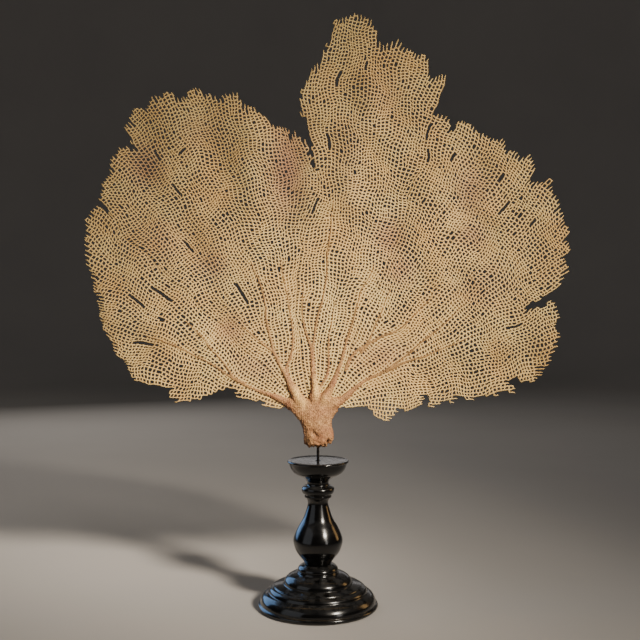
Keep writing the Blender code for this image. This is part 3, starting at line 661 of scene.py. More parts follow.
def new_group(name: str, inputs: Mapping[str, float],
              outputs: Sequence[str]) -> tuple[Graph, bpy.types.Node, bpy.types.Node]:
    """Start a shader node group.

    Args:
        name: the group's name.
        inputs: its number inputs and their values.
        outputs: its number outputs.

    Returns:
        The graph, its input node and its output node.
    """
    tree = bpy.data.node_groups.new(name, "ShaderNodeTree")
    for label, value in inputs.items():
        socket = tree.interface.new_socket(label, in_out="INPUT", socket_type="NodeSocketFloat")
        socket.default_value = value
    for label in outputs:
        tree.interface.new_socket(label, in_out="OUTPUT", socket_type="NodeSocketFloat")
    graph = Graph(tree)
    return graph, graph.add("NodeGroupInput"), graph.add("NodeGroupOutput")


@cache
def dry_grain_group() -> bpy.types.NodeTree:
    """Chalky grain with fine pits, as on a dried rind: outputs Tone and Height. It is made once."""
    grain_span, pit_span, rim = (0.3, 0.7), (0.08, 0.42), 0.4
    graph, given, out = new_group("dry_grain", {"Scale": 1000.0}, ("Tone", "Height"))
    place, scale = graph.place(), given.outputs["Scale"]
    grain = graph.noise(place, scale, detail=4.0, roughness=0.6)
    pits = graph.add("ShaderNodeTexVoronoi", {"Vector": place, "Scale": scale}).outputs["Distance"]
    height = graph.maths("MULTIPLY", graph.spread(pits, pit_span), graph.maths("ADD", grain, rim))
    graph.feed(out, {"Tone": graph.spread(grain, grain_span), "Height": height})
    return graph.tree


@cache
def settled_dust_group() -> bpy.types.NodeTree:
    """Dust on what faces up, broken by noise: outputs Mask. It is made once."""
    level_span, cloud_span = (0.35, 0.95), (0.35, 0.75)
    graph, given, out = new_group("settled_dust", {"Scale": 90.0, "Amount": 0.5}, ("Mask",))
    up = graph.add("ShaderNodeSeparateXYZ", {0: graph.add("ShaderNodeNewGeometry").outputs["Normal"]})
    cloud = graph.noise(graph.place(), given.outputs["Scale"], detail=5.0, roughness=0.5)
    level = graph.spread(up.outputs["Z"], level_span)
    broken = graph.maths("MULTIPLY", level, graph.spread(cloud, cloud_span))
    graph.feed(out, {"Mask": graph.maths("MULTIPLY", broken, given.outputs["Amount"])})
    return graph.tree


@dataclass(frozen=True)
class Finish:
    """A named surface finish."""

    name: str

    def build(self) -> bpy.types.Material:
        """Make the material.

        Returns:
            The material.
        """
        material = bpy.data.materials.new(self.name)
        material.use_nodes = True
        graph = Graph(material.node_tree)
        graph.feed(material.node_tree.nodes["Principled BSDF"], self.surface(graph))
        return material

    def surface(self, graph: Graph) -> dict[str, object]:
        """What goes into the surface's inputs: values, or sockets of the graph."""
        raise NotImplementedError


@dataclass(frozen=True)
class RindFinish(Finish):
    """Dry coral rind: two base colours, and others where the mesh's numbers say so.

    Brown comes where crest is low, as painted shade on the strands' sides and in the openings. The
    yellower colour comes where the mesh marks painted highlights on the ribs by the trunk and the far
    ribs' own tone, and the stain and shade colour where it marks stains and painted shade.
    """

    pale: Colour
    warm: Colour
    brown: Colour
    stain_and_shade_colour: Colour
    grain_scale: float
    relief: float
    grain_low: float
    drift_scale: float
    opening_shade_share: float = 0.0
    # Yellower colour of the painted highlights and of the far ribs
    highlight_and_far_tone: Colour = (0.84, 0.54, 0.17, 1.0)
    drift_span: Span = (0.34, 0.66)
    speckle_scale: float = 240.0
    speckle_span: Span = (0.35, 0.7)
    speckle_share: float = 0.45
    opening_shade_span: Span = (0.15, 0.8)
    stain_and_shade_share: float = 0.85
    roughness: Span = (0.62, 0.88)
    bump_strength: float = 0.8
    specular: float = 0.35

    def surface(self, graph: Graph) -> dict[str, object]:
        """Colour in layers, with grain in the tone, the roughness and the relief."""
        place = graph.place()
        grain = graph.add("ShaderNodeGroup", {"Scale": self.grain_scale}, node_tree=dry_grain_group())
        drift = graph.spread(graph.noise(place, self.drift_scale, detail=4.0), self.drift_span)
        speckle = graph.spread(graph.noise(place, self.speckle_scale), self.speckle_span)
        colour = graph.blend(drift, self.pale, self.warm)
        colour = graph.blend(graph.maths("MULTIPLY", speckle, self.speckle_share), colour, self.warm)
        # Painted shade on the strands' sides and in the openings, where crest is low
        opening_shade = graph.spread(graph.attribute("crest"), self.opening_shade_span, (self.opening_shade_share, 0.0))
        colour = graph.blend(opening_shade, colour, self.brown)
        # Painted highlights on the ribs by the trunk, with the far ribs' own yellower tone
        colour = graph.blend(graph.attribute("highlight_and_far_tone"), colour, self.highlight_and_far_tone)
        # Stains, and painted shade on the folds, on left-facing sides and in the dents
        stain_and_shade = graph.maths("MULTIPLY", graph.attribute("stain_and_shade"), self.stain_and_shade_share)
        colour = graph.blend(stain_and_shade, colour, self.stain_and_shade_colour)
        tone = graph.spread(grain.outputs["Tone"], UNIT, (self.grain_low, 2.0 - self.grain_low))
        return {
            "Base Color": graph.blend(1.0, colour, tone, "MULTIPLY"),
            "Roughness": graph.spread(grain.outputs["Tone"], UNIT, self.roughness),
            "Normal": graph.bump(grain.outputs["Height"], self.bump_strength, self.relief),
            "Specular IOR Level": self.specular,
        }


@dataclass(frozen=True)
class LacquerFinish(Finish):
    """Gloss black lacquer over turned wood, with faint grain, dust on its ledges and soft smudges."""

    base: Colour = (0.0012, 0.0012, 0.0013, 1.0)
    dust: Colour = (0.16, 0.155, 0.15, 1.0)
    dust_scale: float = 160.0
    dust_amount: float = 0.16
    dust_roughness: float = 1.6
    smudge_scale: float = 30.0
    smudge_span: Span = (0.35, 0.7)
    roughness: Span = (0.14, 0.24)
    fibre_scale: float = 620.0
    fibre_stretch: float = 0.08
    fibre_share: float = 0.5
    peel_scale: float = 420.0
    bump_strength: float = 0.12
    relief: float = 0.0001
    specular: float = 0.3
    coat: float = 0.5
    coat_roughness: float = 0.11

    def surface(self, graph: Graph) -> dict[str, object]:
        """Black under a coat, duller where dust and smudges lie."""
        place = graph.place()
        dust = graph.add("ShaderNodeGroup", {"Scale": self.dust_scale, "Amount": self.dust_amount},
                         node_tree=settled_dust_group()).outputs["Mask"]
        smudge = graph.spread(graph.noise(place, self.smudge_scale, detail=5.0), self.smudge_span)
        fibre = graph.noise(graph.stretched(place, self.fibre_stretch), self.fibre_scale)
        height = graph.maths("ADD", graph.maths("MULTIPLY", fibre, self.fibre_share),
                             graph.noise(place, self.peel_scale, detail=2.0))
        return {
            "Base Color": graph.blend(dust, self.base, self.dust),
            "Roughness": graph.maths("ADD", graph.spread(smudge, UNIT, self.roughness),
                                     graph.maths("MULTIPLY", dust, self.dust_roughness)),
            "Normal": graph.bump(height, self.bump_strength, self.relief),
            "Specular IOR Level": self.specular,
            "Coat Weight": self.coat,
            "Coat Roughness": self.coat_roughness,
        }


@dataclass(frozen=True)
class SteelFinish(Finish):
    """Dark oxidised steel wire with drawn lines and a little rust."""

    bare: Colour = (0.02, 0.019, 0.018, 1.0)
    rusty: Colour = (0.035, 0.014, 0.007, 1.0)
    rust_scale: float = 500.0
    rust_span: Span = (0.52, 0.7)
    roughness: Span = (0.34, 0.8)
    metallic: Span = (1.0, 0.2)
    drawn_scale: float = 4000.0
    drawn_stretch: float = 0.05
    bump_strength: float = 0.3
    relief: float = 0.0001

    def surface(self, graph: Graph) -> dict[str, object]:
        """Steel that is browner, duller and less metallic where it rusts."""
        place = graph.place()
        rust = graph.spread(graph.noise(place, self.rust_scale, detail=4.0), self.rust_span)
        drawn = graph.noise(graph.stretched(place, self.drawn_stretch), self.drawn_scale)
        return {
            "Base Color": graph.blend(rust, self.bare, self.rusty),
            "Roughness": graph.spread(rust, UNIT, self.roughness),
            "Metallic": graph.spread(rust, UNIT, self.metallic),
            "Normal": graph.bump(drawn, self.bump_strength, self.relief),
        }


@dataclass(frozen=True)
class FloorFinish(Finish):
    """Plain pale matt floor."""

    tone: Colour = (0.5, 0.475, 0.45, 1.0)
    mottle_scale: float = 2.0
    mottle_span: Span = (0.3, 0.7)
    mottle: Span = (0.96, 1.04)

    def surface(self, graph: Graph) -> dict[str, object]:
        """One tone with a hardly visible mottle, without gloss."""
        mottle = graph.spread(graph.noise(graph.place(), self.mottle_scale, detail=5.0), self.mottle_span,
                              self.mottle)
        return {"Base Color": graph.blend(1.0, self.tone, mottle, "MULTIPLY"), "Roughness": 1.0,
                "Specular IOR Level": 0.0}


# The net


@dataclass
class StrandField:
    """Smooth field of strand lines between the given guides, read by place and row."""

    step: float
    rows: int
    table: np.ndarray = field(init=False)

    def __post_init__(self) -> None:
        """Walk every guide in even steps."""
        self.table = np.stack([self._walk(points) for points in GUIDES.values()])

    def _walk(self, points: Sequence[Point]) -> np.ndarray:
        """Even steps along a guide, running straight on past its end."""
        line = rounded(points, self.step)
        heading = (line[-1] - line[-2]) / np.linalg.norm(line[-1] - line[-2])
        missing = max(self.rows - len(line), 0)
        extra = line[-1] + heading * self.step * np.arange(1, missing + 1)[:, None]
        return np.vstack([line, extra])[:self.rows]

    def at(self, places: Sequence[float], row: int) -> np.ndarray:
        """Points at one row; place 2.5 is half way from guide 2 to guide 3."""
        where = np.array(places)
        low = np.minimum(where.astype(int), len(self.table) - 2)
        part = (where - low)[:, None]
        return self.table[low, row] * (1.0 - part) + self.table[low + 1, row] * part


@dataclass
class Strip:
    """The gap between two neighbouring strands, with the cell now open in it."""

    phase: int
    floor: list[int]
    left: list[int] = field(default_factory=list)
    right: list[int] = field(default_factory=list)

    def ring(self, top: list[int]) -> list[int]:
        """The cell's points in order, once its top link is in."""
        return list(dict.fromkeys(self.floor + self.right + top[::-1][1:-1] + self.left[::-1]))


@dataclass
class GrownNet:
    """Points of the net, its cells as rings of point numbers, each with its outer link and place."""

    points: np.ndarray = field(default_factory=lambda: np.empty((0, 2)))
    cells: list[list[int]] = field(default_factory=list)
    tops: list[list[int]] = field(default_factory=list)
    places: list[float] = field(default_factory=list)
    runs: list[tuple[int, int]] = field(default_factory=list)


@dataclass
class NetGrowth:
    """Grows the net outwards from the trunk.

    Strands run along the field. One more starts wherever two have drifted apart, and one ends
    where two have come close. Cross links tie neighbours together at every second row, and here
    and there a row late, which throws the links on either side out of line.
    """

    pitch: float = NET_PITCH
    reach: float = 420.0
    split_at: float = 1.42
    merge_at: float = 0.68
    widest_merge: float = 1.32
    narrowest_birth: float = 0.42
    jitter: float = 0.085
    even_out: float = 0.45
    late_share: float = 0.06
    lines: StrandField = field(init=False)
    rng: np.random.Generator = field(init=False)

    def __post_init__(self) -> None:
        """Lay the strand field, and start the chance."""
        self.lines = StrandField(self.pitch / 2, int(self.reach / (self.pitch / 2)))
        self.rng = np.random.default_rng(SEED)

    def grow(self) -> GrownNet:
        """Grow the whole net.

        Returns:
            The points and cells, in millimetres.
        """
        places = self._first_places()
        points: list[np.ndarray] = list(self.lines.at(places, 0))
        ids = list(range(len(places)))
        strips = [Strip(0, [a, b]) for a, b in zip(ids, ids[1:])]
        net = GrownNet()
        for row in range(1, self.lines.rows):
            self._settle(places, row)
            spots = self.lines.at(places, row)
            spots = spots + waver(spots) + self.rng.normal(0.0, self.jitter, spots.shape) * self.pitch
            new_ids = list(range(len(points), len(points) + len(spots)))
            points.extend(spots)
            net.runs.extend(zip(ids, new_ids))
            ids = new_ids
            for strip, left, right in zip(strips, ids, ids[1:]):
                strip.left.append(left)
                strip.right.append(right)
            gaps = gaps_between(spots)
            doomed = self._doomed(places, gaps, row)
            tied = self._tied(strips, row, doomed)
            born: dict[int, tuple[int, float]] = {}
            for k in sorted(tied):
                top = [ids[k], ids[k + 1]]
                middle = self._new_place(places[k], places[k + 1], gaps[k], row)
                if middle is not None and k not in doomed and k + 1 not in doomed:
                    born[k] = (len(points), middle)
                    top.insert(1, len(points))
                    points.append((points[ids[k]] + points[ids[k + 1]]) / 2)
                net.cells.append(strips[k].ring(top))
                net.tops.append(top)
                net.places.append((places[k] + places[k + 1]) / 2)
            places, ids, strips = self._next_front(row, places, ids, strips, tied, born, doomed)
        net.points = np.array(points)
        return net

    def _held(self, place: float, row: int) -> bool:
        """Whether a strand stays on its guide: a fork, an edge, or a rib as far as it reaches."""
        index = round(place)
        if place != index:
            return False
        name = GUIDE_NAMES[index]
        on_rib = row * self.lines.step < RIB_ENDS.get(name, 0.0)
        return name.startswith("fork") or name.endswith("edge") or on_rib

    def _free(self, places: list[float], row: int) -> Iterable[int]:
        """The inner strands that no guide holds, found one at a time."""
        return (k for k in range(1, len(places) - 1) if not self._held(places[k], row))

    def _first_places(self) -> list[float]:
        """The strands that leave the trunk: the forks, the edges and others that have room."""
        start = self.lines.table[:, 0]
        last = len(GUIDE_NAMES) - 1
        chosen = [k for k, name in enumerate(GUIDE_NAMES) if name.startswith("fork") or k in (0, last)]
        for k in range(last + 1):
            if min(np.linalg.norm(start[k] - start[c]) for c in chosen) > self.merge_at * self.pitch:
                chosen = sorted(chosen + [k])
        return [float(c) for c in chosen]

    def _settle(self, places: list[float], row: int) -> None:
        """Let the free strands drift to the middle between their neighbours."""
        gaps = gaps_between(self.lines.at(places, row))
        for k in self._free(places, row):
            pull = (gaps[k] - gaps[k - 1]) / max(gaps[k] + gaps[k - 1], LEAST_LENGTH)
            room = min(places[k + 1] - places[k], places[k] - places[k - 1])
            places[k] += self.even_out * pull * room

    def _doomed(self, places: list[float], gaps: np.ndarray, row: int) -> set[int]:
        """Strands to end: too close to a neighbour, with room on the other side."""
        doomed: set[int] = set()
        for k in self._free(places, row):
            close = min(gaps[k - 1], gaps[k]) < self.merge_at * self.pitch
            if close and k - 1 not in doomed and gaps[k - 1] + gaps[k] < self.widest_merge * self.pitch:
                doomed.add(k)
        return doomed

    def _tied(self, strips: list[Strip], row: int, doomed: set[int]) -> set[int]:
        """Gaps whose cell closes at this row."""
        tied: set[int] = set()
        for k, strip in enumerate(strips):
            forced = k in doomed or k + 1 in doomed
            due = row % 2 == strip.phase and len(strip.left) > 1
            if due and not forced and self.rng.random() < self.late_share:
                strip.phase = 1 - strip.phase
            elif due or forced:
                tied.add(k)
        return tied

    def _new_place(self, a: float, b: float, gap: float, row: int) -> float | None:
        """Where a strand starts between two, or None where there is no room."""
        if gap < self.split_at * self.pitch:
            return None
        inner = [float(g) for g in range(math.ceil(a), math.floor(b) + 1) if a < g < b]
        for place in sorted(inner, key=lambda g: abs(g - (a + b) / 2)):
            narrow = min(gaps_between(self.lines.at([a, place, b], row)))
            if self._held(place, row) and narrow > self.narrowest_birth * self.pitch:
                return place
        return (a + b) / 2

    def _next_front(self, row: int, places: list[float], ids: list[int], strips: list[Strip],
                    tied: set[int], born: dict[int, tuple[int, float]],
                    doomed: set[int]) -> tuple[list[float], list[int], list[Strip]]:
        """The strands and gaps after a row's links, births and ends."""
        new_places, new_ids, new_strips = [places[0]], [ids[0]], []
        floor: list[int] = []
        for k, strip in enumerate(strips):
            if k in tied:
                left = ids[k]
                if k in born:
                    left, middle = born[k]
                    new_strips.append(Strip(row % 2, [ids[k], left]))
                    new_places.append(middle)
                    new_ids.append(left)
                    strip.phase = row % 2
                strip = Strip(strip.phase, [left, ids[k + 1]])
            if k + 1 in doomed:
                floor = strip.floor
                continue
            if floor:
                strip = Strip(row % 2, floor + strip.floor[1:])
                floor = []
            new_strips.append(strip)
            new_places.append(places[k + 1])
            new_ids.append(ids[k + 1])
        return new_places, new_ids, new_strips


@dataclass
class NetCut:
    """What of the grown net is kept: cells inside the margin, off the tears, and free strand ends.

    The box is the furthest left, right and up that a strand's middle may lie.
    """

    net: GrownNet
    overhang: float = 0.9
    search_room: float = 3.0
    box: Triple = (-212.8, 225.3, 534.3)
    second_tip_share: float = 0.7
    open_share: float = 0.9
    open_past_share: float = 0.6
    deep_share: float = 0.25
    deep_share_at_top: float = 0.75
    top_from: float = 505.0
    tear_room: float = 0.5
    tear_push: float = 0.5
    tear_parts: int = 9
    along_gap: float = 0.75
    push_reach: float = 3.2
    push_least_gap: float = 0.5
    kept: np.ndarray = field(init=False)
    edges: set[tuple[int, int]] = field(init=False)
    tips: set[int] = field(init=False)
    outer: dict[tuple[int, ...], int] = field(init=False)
    inner: dict[tuple[int, ...], int] = field(init=False)

    def __post_init__(self) -> None:
        """Sort the cells and edges."""
        net = self.net
        # Each cell by the link that it grew from, and by the link that closed it
        self.outer = {tuple(cell[:2]): c for c, cell in enumerate(net.cells)}
        self.inner = {(top[0], top[-1]): c for c, top in enumerate(net.tops)}
        inside = self._inside(net.points)
        middles = np.array([net.points[c].mean(axis=0) for c in net.cells])
        self.kept = np.array([all(inside[v] for v in cell) for cell in net.cells])
        by_tear = np.zeros(len(net.points), bool)
        for line, half_width in TEARS:
            course, torn = self._tear(middles, np.array(line, float), half_width)
            self.kept[torn] = False
            self._push_apart(course)
            by_tear |= path_distance(net.points, course) < half_width + NET_PITCH
        uses = Counter(self.key(a, b) for cell, kept in zip(net.cells, self.kept) if kept
                       for a, b in sides(cell))
        self.edges = set(uses)
        rng = np.random.default_rng(SEED + 1)
        carrying = self._add_tips(inside, by_tear, rng)
        self._open_margin(uses, carrying, by_tear, rng)
        self._drop_loose()
        ends = Counter(v for edge in self.edges for v in edge)
        self.tips = {v for v, count in ends.items() if count == 1}

    def _tear(self, middles: np.ndarray, line: np.ndarray, half_width: float) -> tuple[np.ndarray, list[int]]:
        """Find what a tear runs through: one gap between two strands, or straight across the strands.

        Args:
            middles: the middle of each cell.
            line: the tear's given line.
            half_width: the tear's half width.

        Returns:
            The course that the tear takes and the cells that it opens into each other.
        """
        centre = line.mean(axis=0)
        first = int(np.argmin(np.linalg.norm(middles - centre, axis=1)))
        reach = math.dist(line[0], line[-1]) / 2
        inwards = self._along(middles, first, reach, lambda c: self.inner.get(tuple(self.net.cells[c][:2])))
        outwards = self._along(middles, first, reach, lambda c: self.outer.get(tuple(self.net.tops[c][:2])))
        gap = inwards[:0:-1] + outwards
        run, wanted = middles[gap[-1]] - middles[gap[0]], line[-1] - line[0]
        if abs(run @ wanted) > self.along_gap * np.linalg.norm(run) * np.linalg.norm(wanted):
            return middles[gap], gap
        line = line + middles[first] - centre
        return line, list(np.flatnonzero(path_distance(middles, line) < half_width + self.tear_room))

    @staticmethod
    def _along(middles: np.ndarray, first: int, reach: float,
               following: Callable[[int], int | None]) -> list[int]:
        """Cells one after the other along a gap, until one lies as far off as the reach."""
        walk = [first]
        while math.dist(middles[walk[-1]], middles[first]) < reach:
            cell = following(walk[-1])
            if cell is None:
                break
            walk.append(cell)
        return walk

    def _push_apart(self, line: np.ndarray) -> None:
        """Bend the strands on both sides of a tear away from it."""
        points = self.net.points
        parts = np.vstack([np.linspace(a, b, self.tear_parts) for a, b in zip(line, line[1:])])
        away = points[:, None] - parts[None]
        length = np.linalg.norm(away, axis=2)
        nearest = length.argmin(axis=1)
        rows = np.arange(len(points))
        gap = length[rows, nearest]
        push = self.tear_push * np.exp(-(gap / self.push_reach) ** 2) / np.maximum(gap, self.push_least_gap)
        self.net.points = points + away[rows, nearest] * push[:, None]

    def _add_tips(self, inside: np.ndarray, by_tear: np.ndarray, rng: np.random.Generator) -> set[int]:
        """Let strands run free past the last cells.

        Args:
            inside: which points lie inside the margin.
            by_tear: which points lie beside a tear.
            rng: the source of chance.

        Returns:
            The points that carry a free strand.
        """
        rooted = {v for edge in self.edges for v in edge}
        first: set[int] = set()
        carrying: set[int] = set()
        for low, high in self.net.runs:
            edge = self.key(low, high)
            if edge in self.edges or not inside[high] or by_tear[high] or high in rooted:
                continue
            second = low in first and rng.random() < self.second_tip_share
            if low in rooted or second:
                self.edges.add(edge)
                carrying.add(low)
                if low in rooted:
                    first.add(high)
        return carrying

    def _open_margin(self, uses: Counter, carrying: set[int], by_tear: np.ndarray,
                     rng: np.random.Generator) -> None:
        """Cut outermost links, so that the strands beside them stand free like the teeth of a comb.

        Some cuts go one link deeper, mostly at the top.

        Args:
            uses: how many kept cells share each edge.
            carrying: the points that carry a free strand.
            by_tear: which points lie beside a tear.
            rng: the source of chance.
        """
        for cell, top, kept in zip(self.net.cells, self.net.tops, self.kept):
            links = [self.key(a, b) for a, b in zip(top, top[1:])]
            closed = any(uses[link] != 1 for link in links) or by_tear[top].any()
            share = self.open_past_share if carrying.intersection(top) else self.open_share
            if kept and not closed and rng.random() < share:
                self.edges.difference_update(links)
                inner = self.inner.get((cell[0], cell[1]))
                at_top = self.net.points[top[0]][1] > self.top_from
                deep = self.deep_share_at_top if at_top else self.deep_share
                if inner is not None and self.kept[inner] and rng.random() < deep:
                    self.edges.discard(self.key(cell[0], cell[1]))

    def _drop_loose(self) -> None:
        """Drop scraps that hang on nothing."""
        beside: dict[int, set[int]] = {}
        for a, b in self.edges:
            beside.setdefault(a, set()).add(b)
            beside.setdefault(b, set()).add(a)
        largest: set[int] = set()
        unseen = set(beside)
        while unseen:
            front = [min(unseen)]
            group = set(front)
            while front:
                near = beside[front.pop()] - group
                group |= near
                front.extend(near)
            unseen -= group
            largest = max(largest, group, key=len)
        LOG.info("net of %d points, %d loose ones dropped", len(largest), len(beside) - len(largest))
        self.edges = {edge for edge in self.edges if edge[0] in largest}
        self.kept &= np.array([cell[0] in largest for cell in self.net.cells])

    def _inside(self, points: np.ndarray) -> np.ndarray:
        """Which points lie inside the margin, or just past it, and inside the box."""
        inside = within(points, MARGIN)
        for a, b in sides(MARGIN):
            away = np.abs(points - (np.array(a) + np.array(b)) / 2).max(axis=1)
            near = away < math.dist(a, b) + self.search_room
            inside[near] |= line_distance(points[near], a, b) < self.overhang
        left, right, top = self.box
        return inside & (points[:, 0] > left) & (points[:, 0] < right) & (points[:, 1] < top)

    @staticmethod
    def key(a: int, b: int) -> tuple[int, int]:
        """An edge's name, whichever way it runs."""
        return (a, b) if a < b else (b, a)

    def keeps(self, a: int, b: int) -> bool:
        """Whether the strand between two points is kept."""
        return self.key(a, b) in self.edges


@dataclass
class CoralBranch(Piece):
    """One branch of the net, from one fork line to the next."""

    first: str
    last: str
    cut: NetCut
    strand_half: float = 0.575
    closed_below: float = 0.8
    widest_inset: float = 0.62
    inset_step: float = 0.04
    widest_offset: float = 1.6
    corner_rounding: float = 0.13
    tip_narrowing: float = 0.4
    crest: float = 0.78
    shoulder: float = 0.3

    def shape(self) -> bmesh.types.BMesh:
        """The branch's strands, round and on the folded blade."""
        low, high = GUIDE_NAMES.index(self.first), GUIDE_NAMES.index(self.last)
        net = self.cut.net
        chosen = [c for c, place in enumerate(net.places) if low < place < high
                  and any(self.cut.keeps(a, b) for a, b in sides(net.cells[c]))]
        bm = bmesh.new()
        crest = bm.verts.layers.float.new("crest")
        # Layer of stains and painted shade on the folds
        stain_and_shade = bm.verts.layers.float.new("stain_and_shade")
        corner = {}
        for v in sorted({v for c in chosen for v in net.cells[c]}):
            corner[v] = bm.verts.new((net.points[v][0], 0.0, net.points[v][1]))
            corner[v][crest] = 1.0
        faces = {c: bm.faces.new([corner[v] for v in net.cells[c]]) for c in chosen if len(net.cells[c]) > 2}
        bm.normal_update()
        self._open_cells(bm, faces, crest)
        self._thicken(bm, crest, stain_and_shade)
        return bm

    def _half_width(self, face: bmesh.types.BMFace, thickening: float) -> float:
        """Strand half width round a cell, or 0 where the cell stays closed."""
        half = self.strand_half * thickening
        inner_radius = 2.0 * face.calc_area() / max(face.calc_perimeter(), LEAST_LENGTH)
        if inner_radius < half * self.closed_below:
            return 0.0
        return round(min(half, inner_radius * self.widest_inset) / self.inset_step) * self.inset_step

    def _open_cells(self, bm: bmesh.types.BMesh, faces: dict[int, bmesh.types.BMFace],
                    crest: bmesh.types.BMLayerItem) -> None:
        """Open each cell to a rounded hole, and drop strands that the cut leaves out.

        Args:
            bm: the branch.
            faces: its cells by number.
            crest: the layer that is 1 along the middle of a strand and 0 at its sides.
        """
        cut = self.cut
        groups: dict[float, list[int]] = {}
        middles = np.array([tuple(face.calc_center_median())[::2] for face in faces.values()])
        for (c, face), thickening in zip(faces.items(), thickening_at(middles)):
            width = self._half_width(face, thickening)
            if width == 0.0 and not cut.kept[c]:
                width = self.strand_half / 2
            if width > 0.0:
                groups.setdefault(width, []).append(c)
        gone: set[bmesh.types.BMFace] = set()
        for width, members in sorted(groups.items()):
            corners = {c: [loop.vert.co.copy() for loop in faces[c].loops] for c in members}
            bmesh.ops.inset_individual(bm, faces=[faces[c] for c in members], thickness=width,
                                       use_even_offset=True)
            for c in members:
                cell = cut.net.cells[c]
                self._round_opening(faces[c], corners[c], width, [v in cut.tips for v in cell], crest)
                for loop, (a, b) in zip(faces[c].loops, sides(cell)):
                    if not cut.keeps(a, b):
                        gone.update(other for other in loop.edge.link_faces if other != faces[c])
                gone.add(faces[c])
        bmesh.ops.delete(bm, geom=list(gone), context="FACES")

    def _round_opening(self, face: bmesh.types.BMFace, corners: list[Vector], width: float,
                       at_tip: list[bool], crest: bmesh.types.BMLayerItem) -> None:
        """Round an opening's corners, and narrow the strands that end free beside it.

        Args:
            face: the opening.
            corners: where its corners were before the inset.
            width: the inset.
            at_tip: which corners lie at a free end.
            crest: the layer that is 1 along the middle of a strand and 0 at its sides.
        """
        ring = [loop.vert for loop in face.loops]
        for v, corner, tip in zip(ring, corners, at_tip):
            offset = v.co - corner
            longest = width * self.widest_offset
            if offset.length > longest:
                offset *= longest / offset.length
            if tip:
                offset *= self.tip_narrowing
            v.co = corner + offset
            v[crest] = 0.0
        spots = [v.co.copy() for v in ring]
        for k, v in enumerate(ring):
            if not at_tip[k]:
                beside = spots[k - 1] + spots[(k + 1) % len(ring)]
                v.co = spots[k] * (1.0 - 2 * self.corner_rounding) + beside * self.corner_rounding

    def _thicken(self, bm: bmesh.types.BMesh, crest: bmesh.types.BMLayerItem,
                 stain_and_shade: bmesh.types.BMLayerItem) -> None:
        """Give the flat net its round strands and lay it on the folded blade."""
        grown = bmesh.ops.extrude_face_region(bm, geom=bm.faces[:])
        front = {v for v in grown["geom"] if isinstance(v, bmesh.types.BMVert)}
        verts = list(bm.verts)
        spots = np.array([(v.co.x, v.co.z) for v in verts])
        for v, depth, brown in zip(verts, fold_depth(spots), patches_at(spots, STAINS_AND_FOLD_SHADE)):
            half = self.shoulder + (self.crest - self.shoulder) * v[crest]
            v.co.y = depth + (-half if v in front else half)
            # Stains, and painted shade on the folds
            v[stain_and_shade] = brown
        bmesh.ops.recalc_face_normals(bm, faces=bm.faces)


# The trunk and the ribs


@dataclass(frozen=True)
class Dent:
    """A dent pressed into the trunk and how much painted shade browns it; its two lean numbers tilt its oval.
    """

    x: float
    z: float
    wide: float
    tall: float
    depth: float
    # Share of painted shade in the dent
    stain_and_shade: float
    front_only: bool = True
    lean: tuple[float, float] = (1.0, 0.0)

    def pressed(self, spots: np.ndarray) -> np.ndarray:
        """How deep each place is pressed in, in millimetres."""
        dx, dz = spots[:, 0] - self.x, spots[:, 2] - self.z
        across = dx * self.lean[0] + dz * self.lean[1]
        along = dz * self.lean[0] - dx * self.lean[1]
        press = self.depth * np.exp(-(across / self.wide) ** 2 - (along / self.tall) ** 2)
        return press * (spots[:, 1] < 0) if self.front_only else press


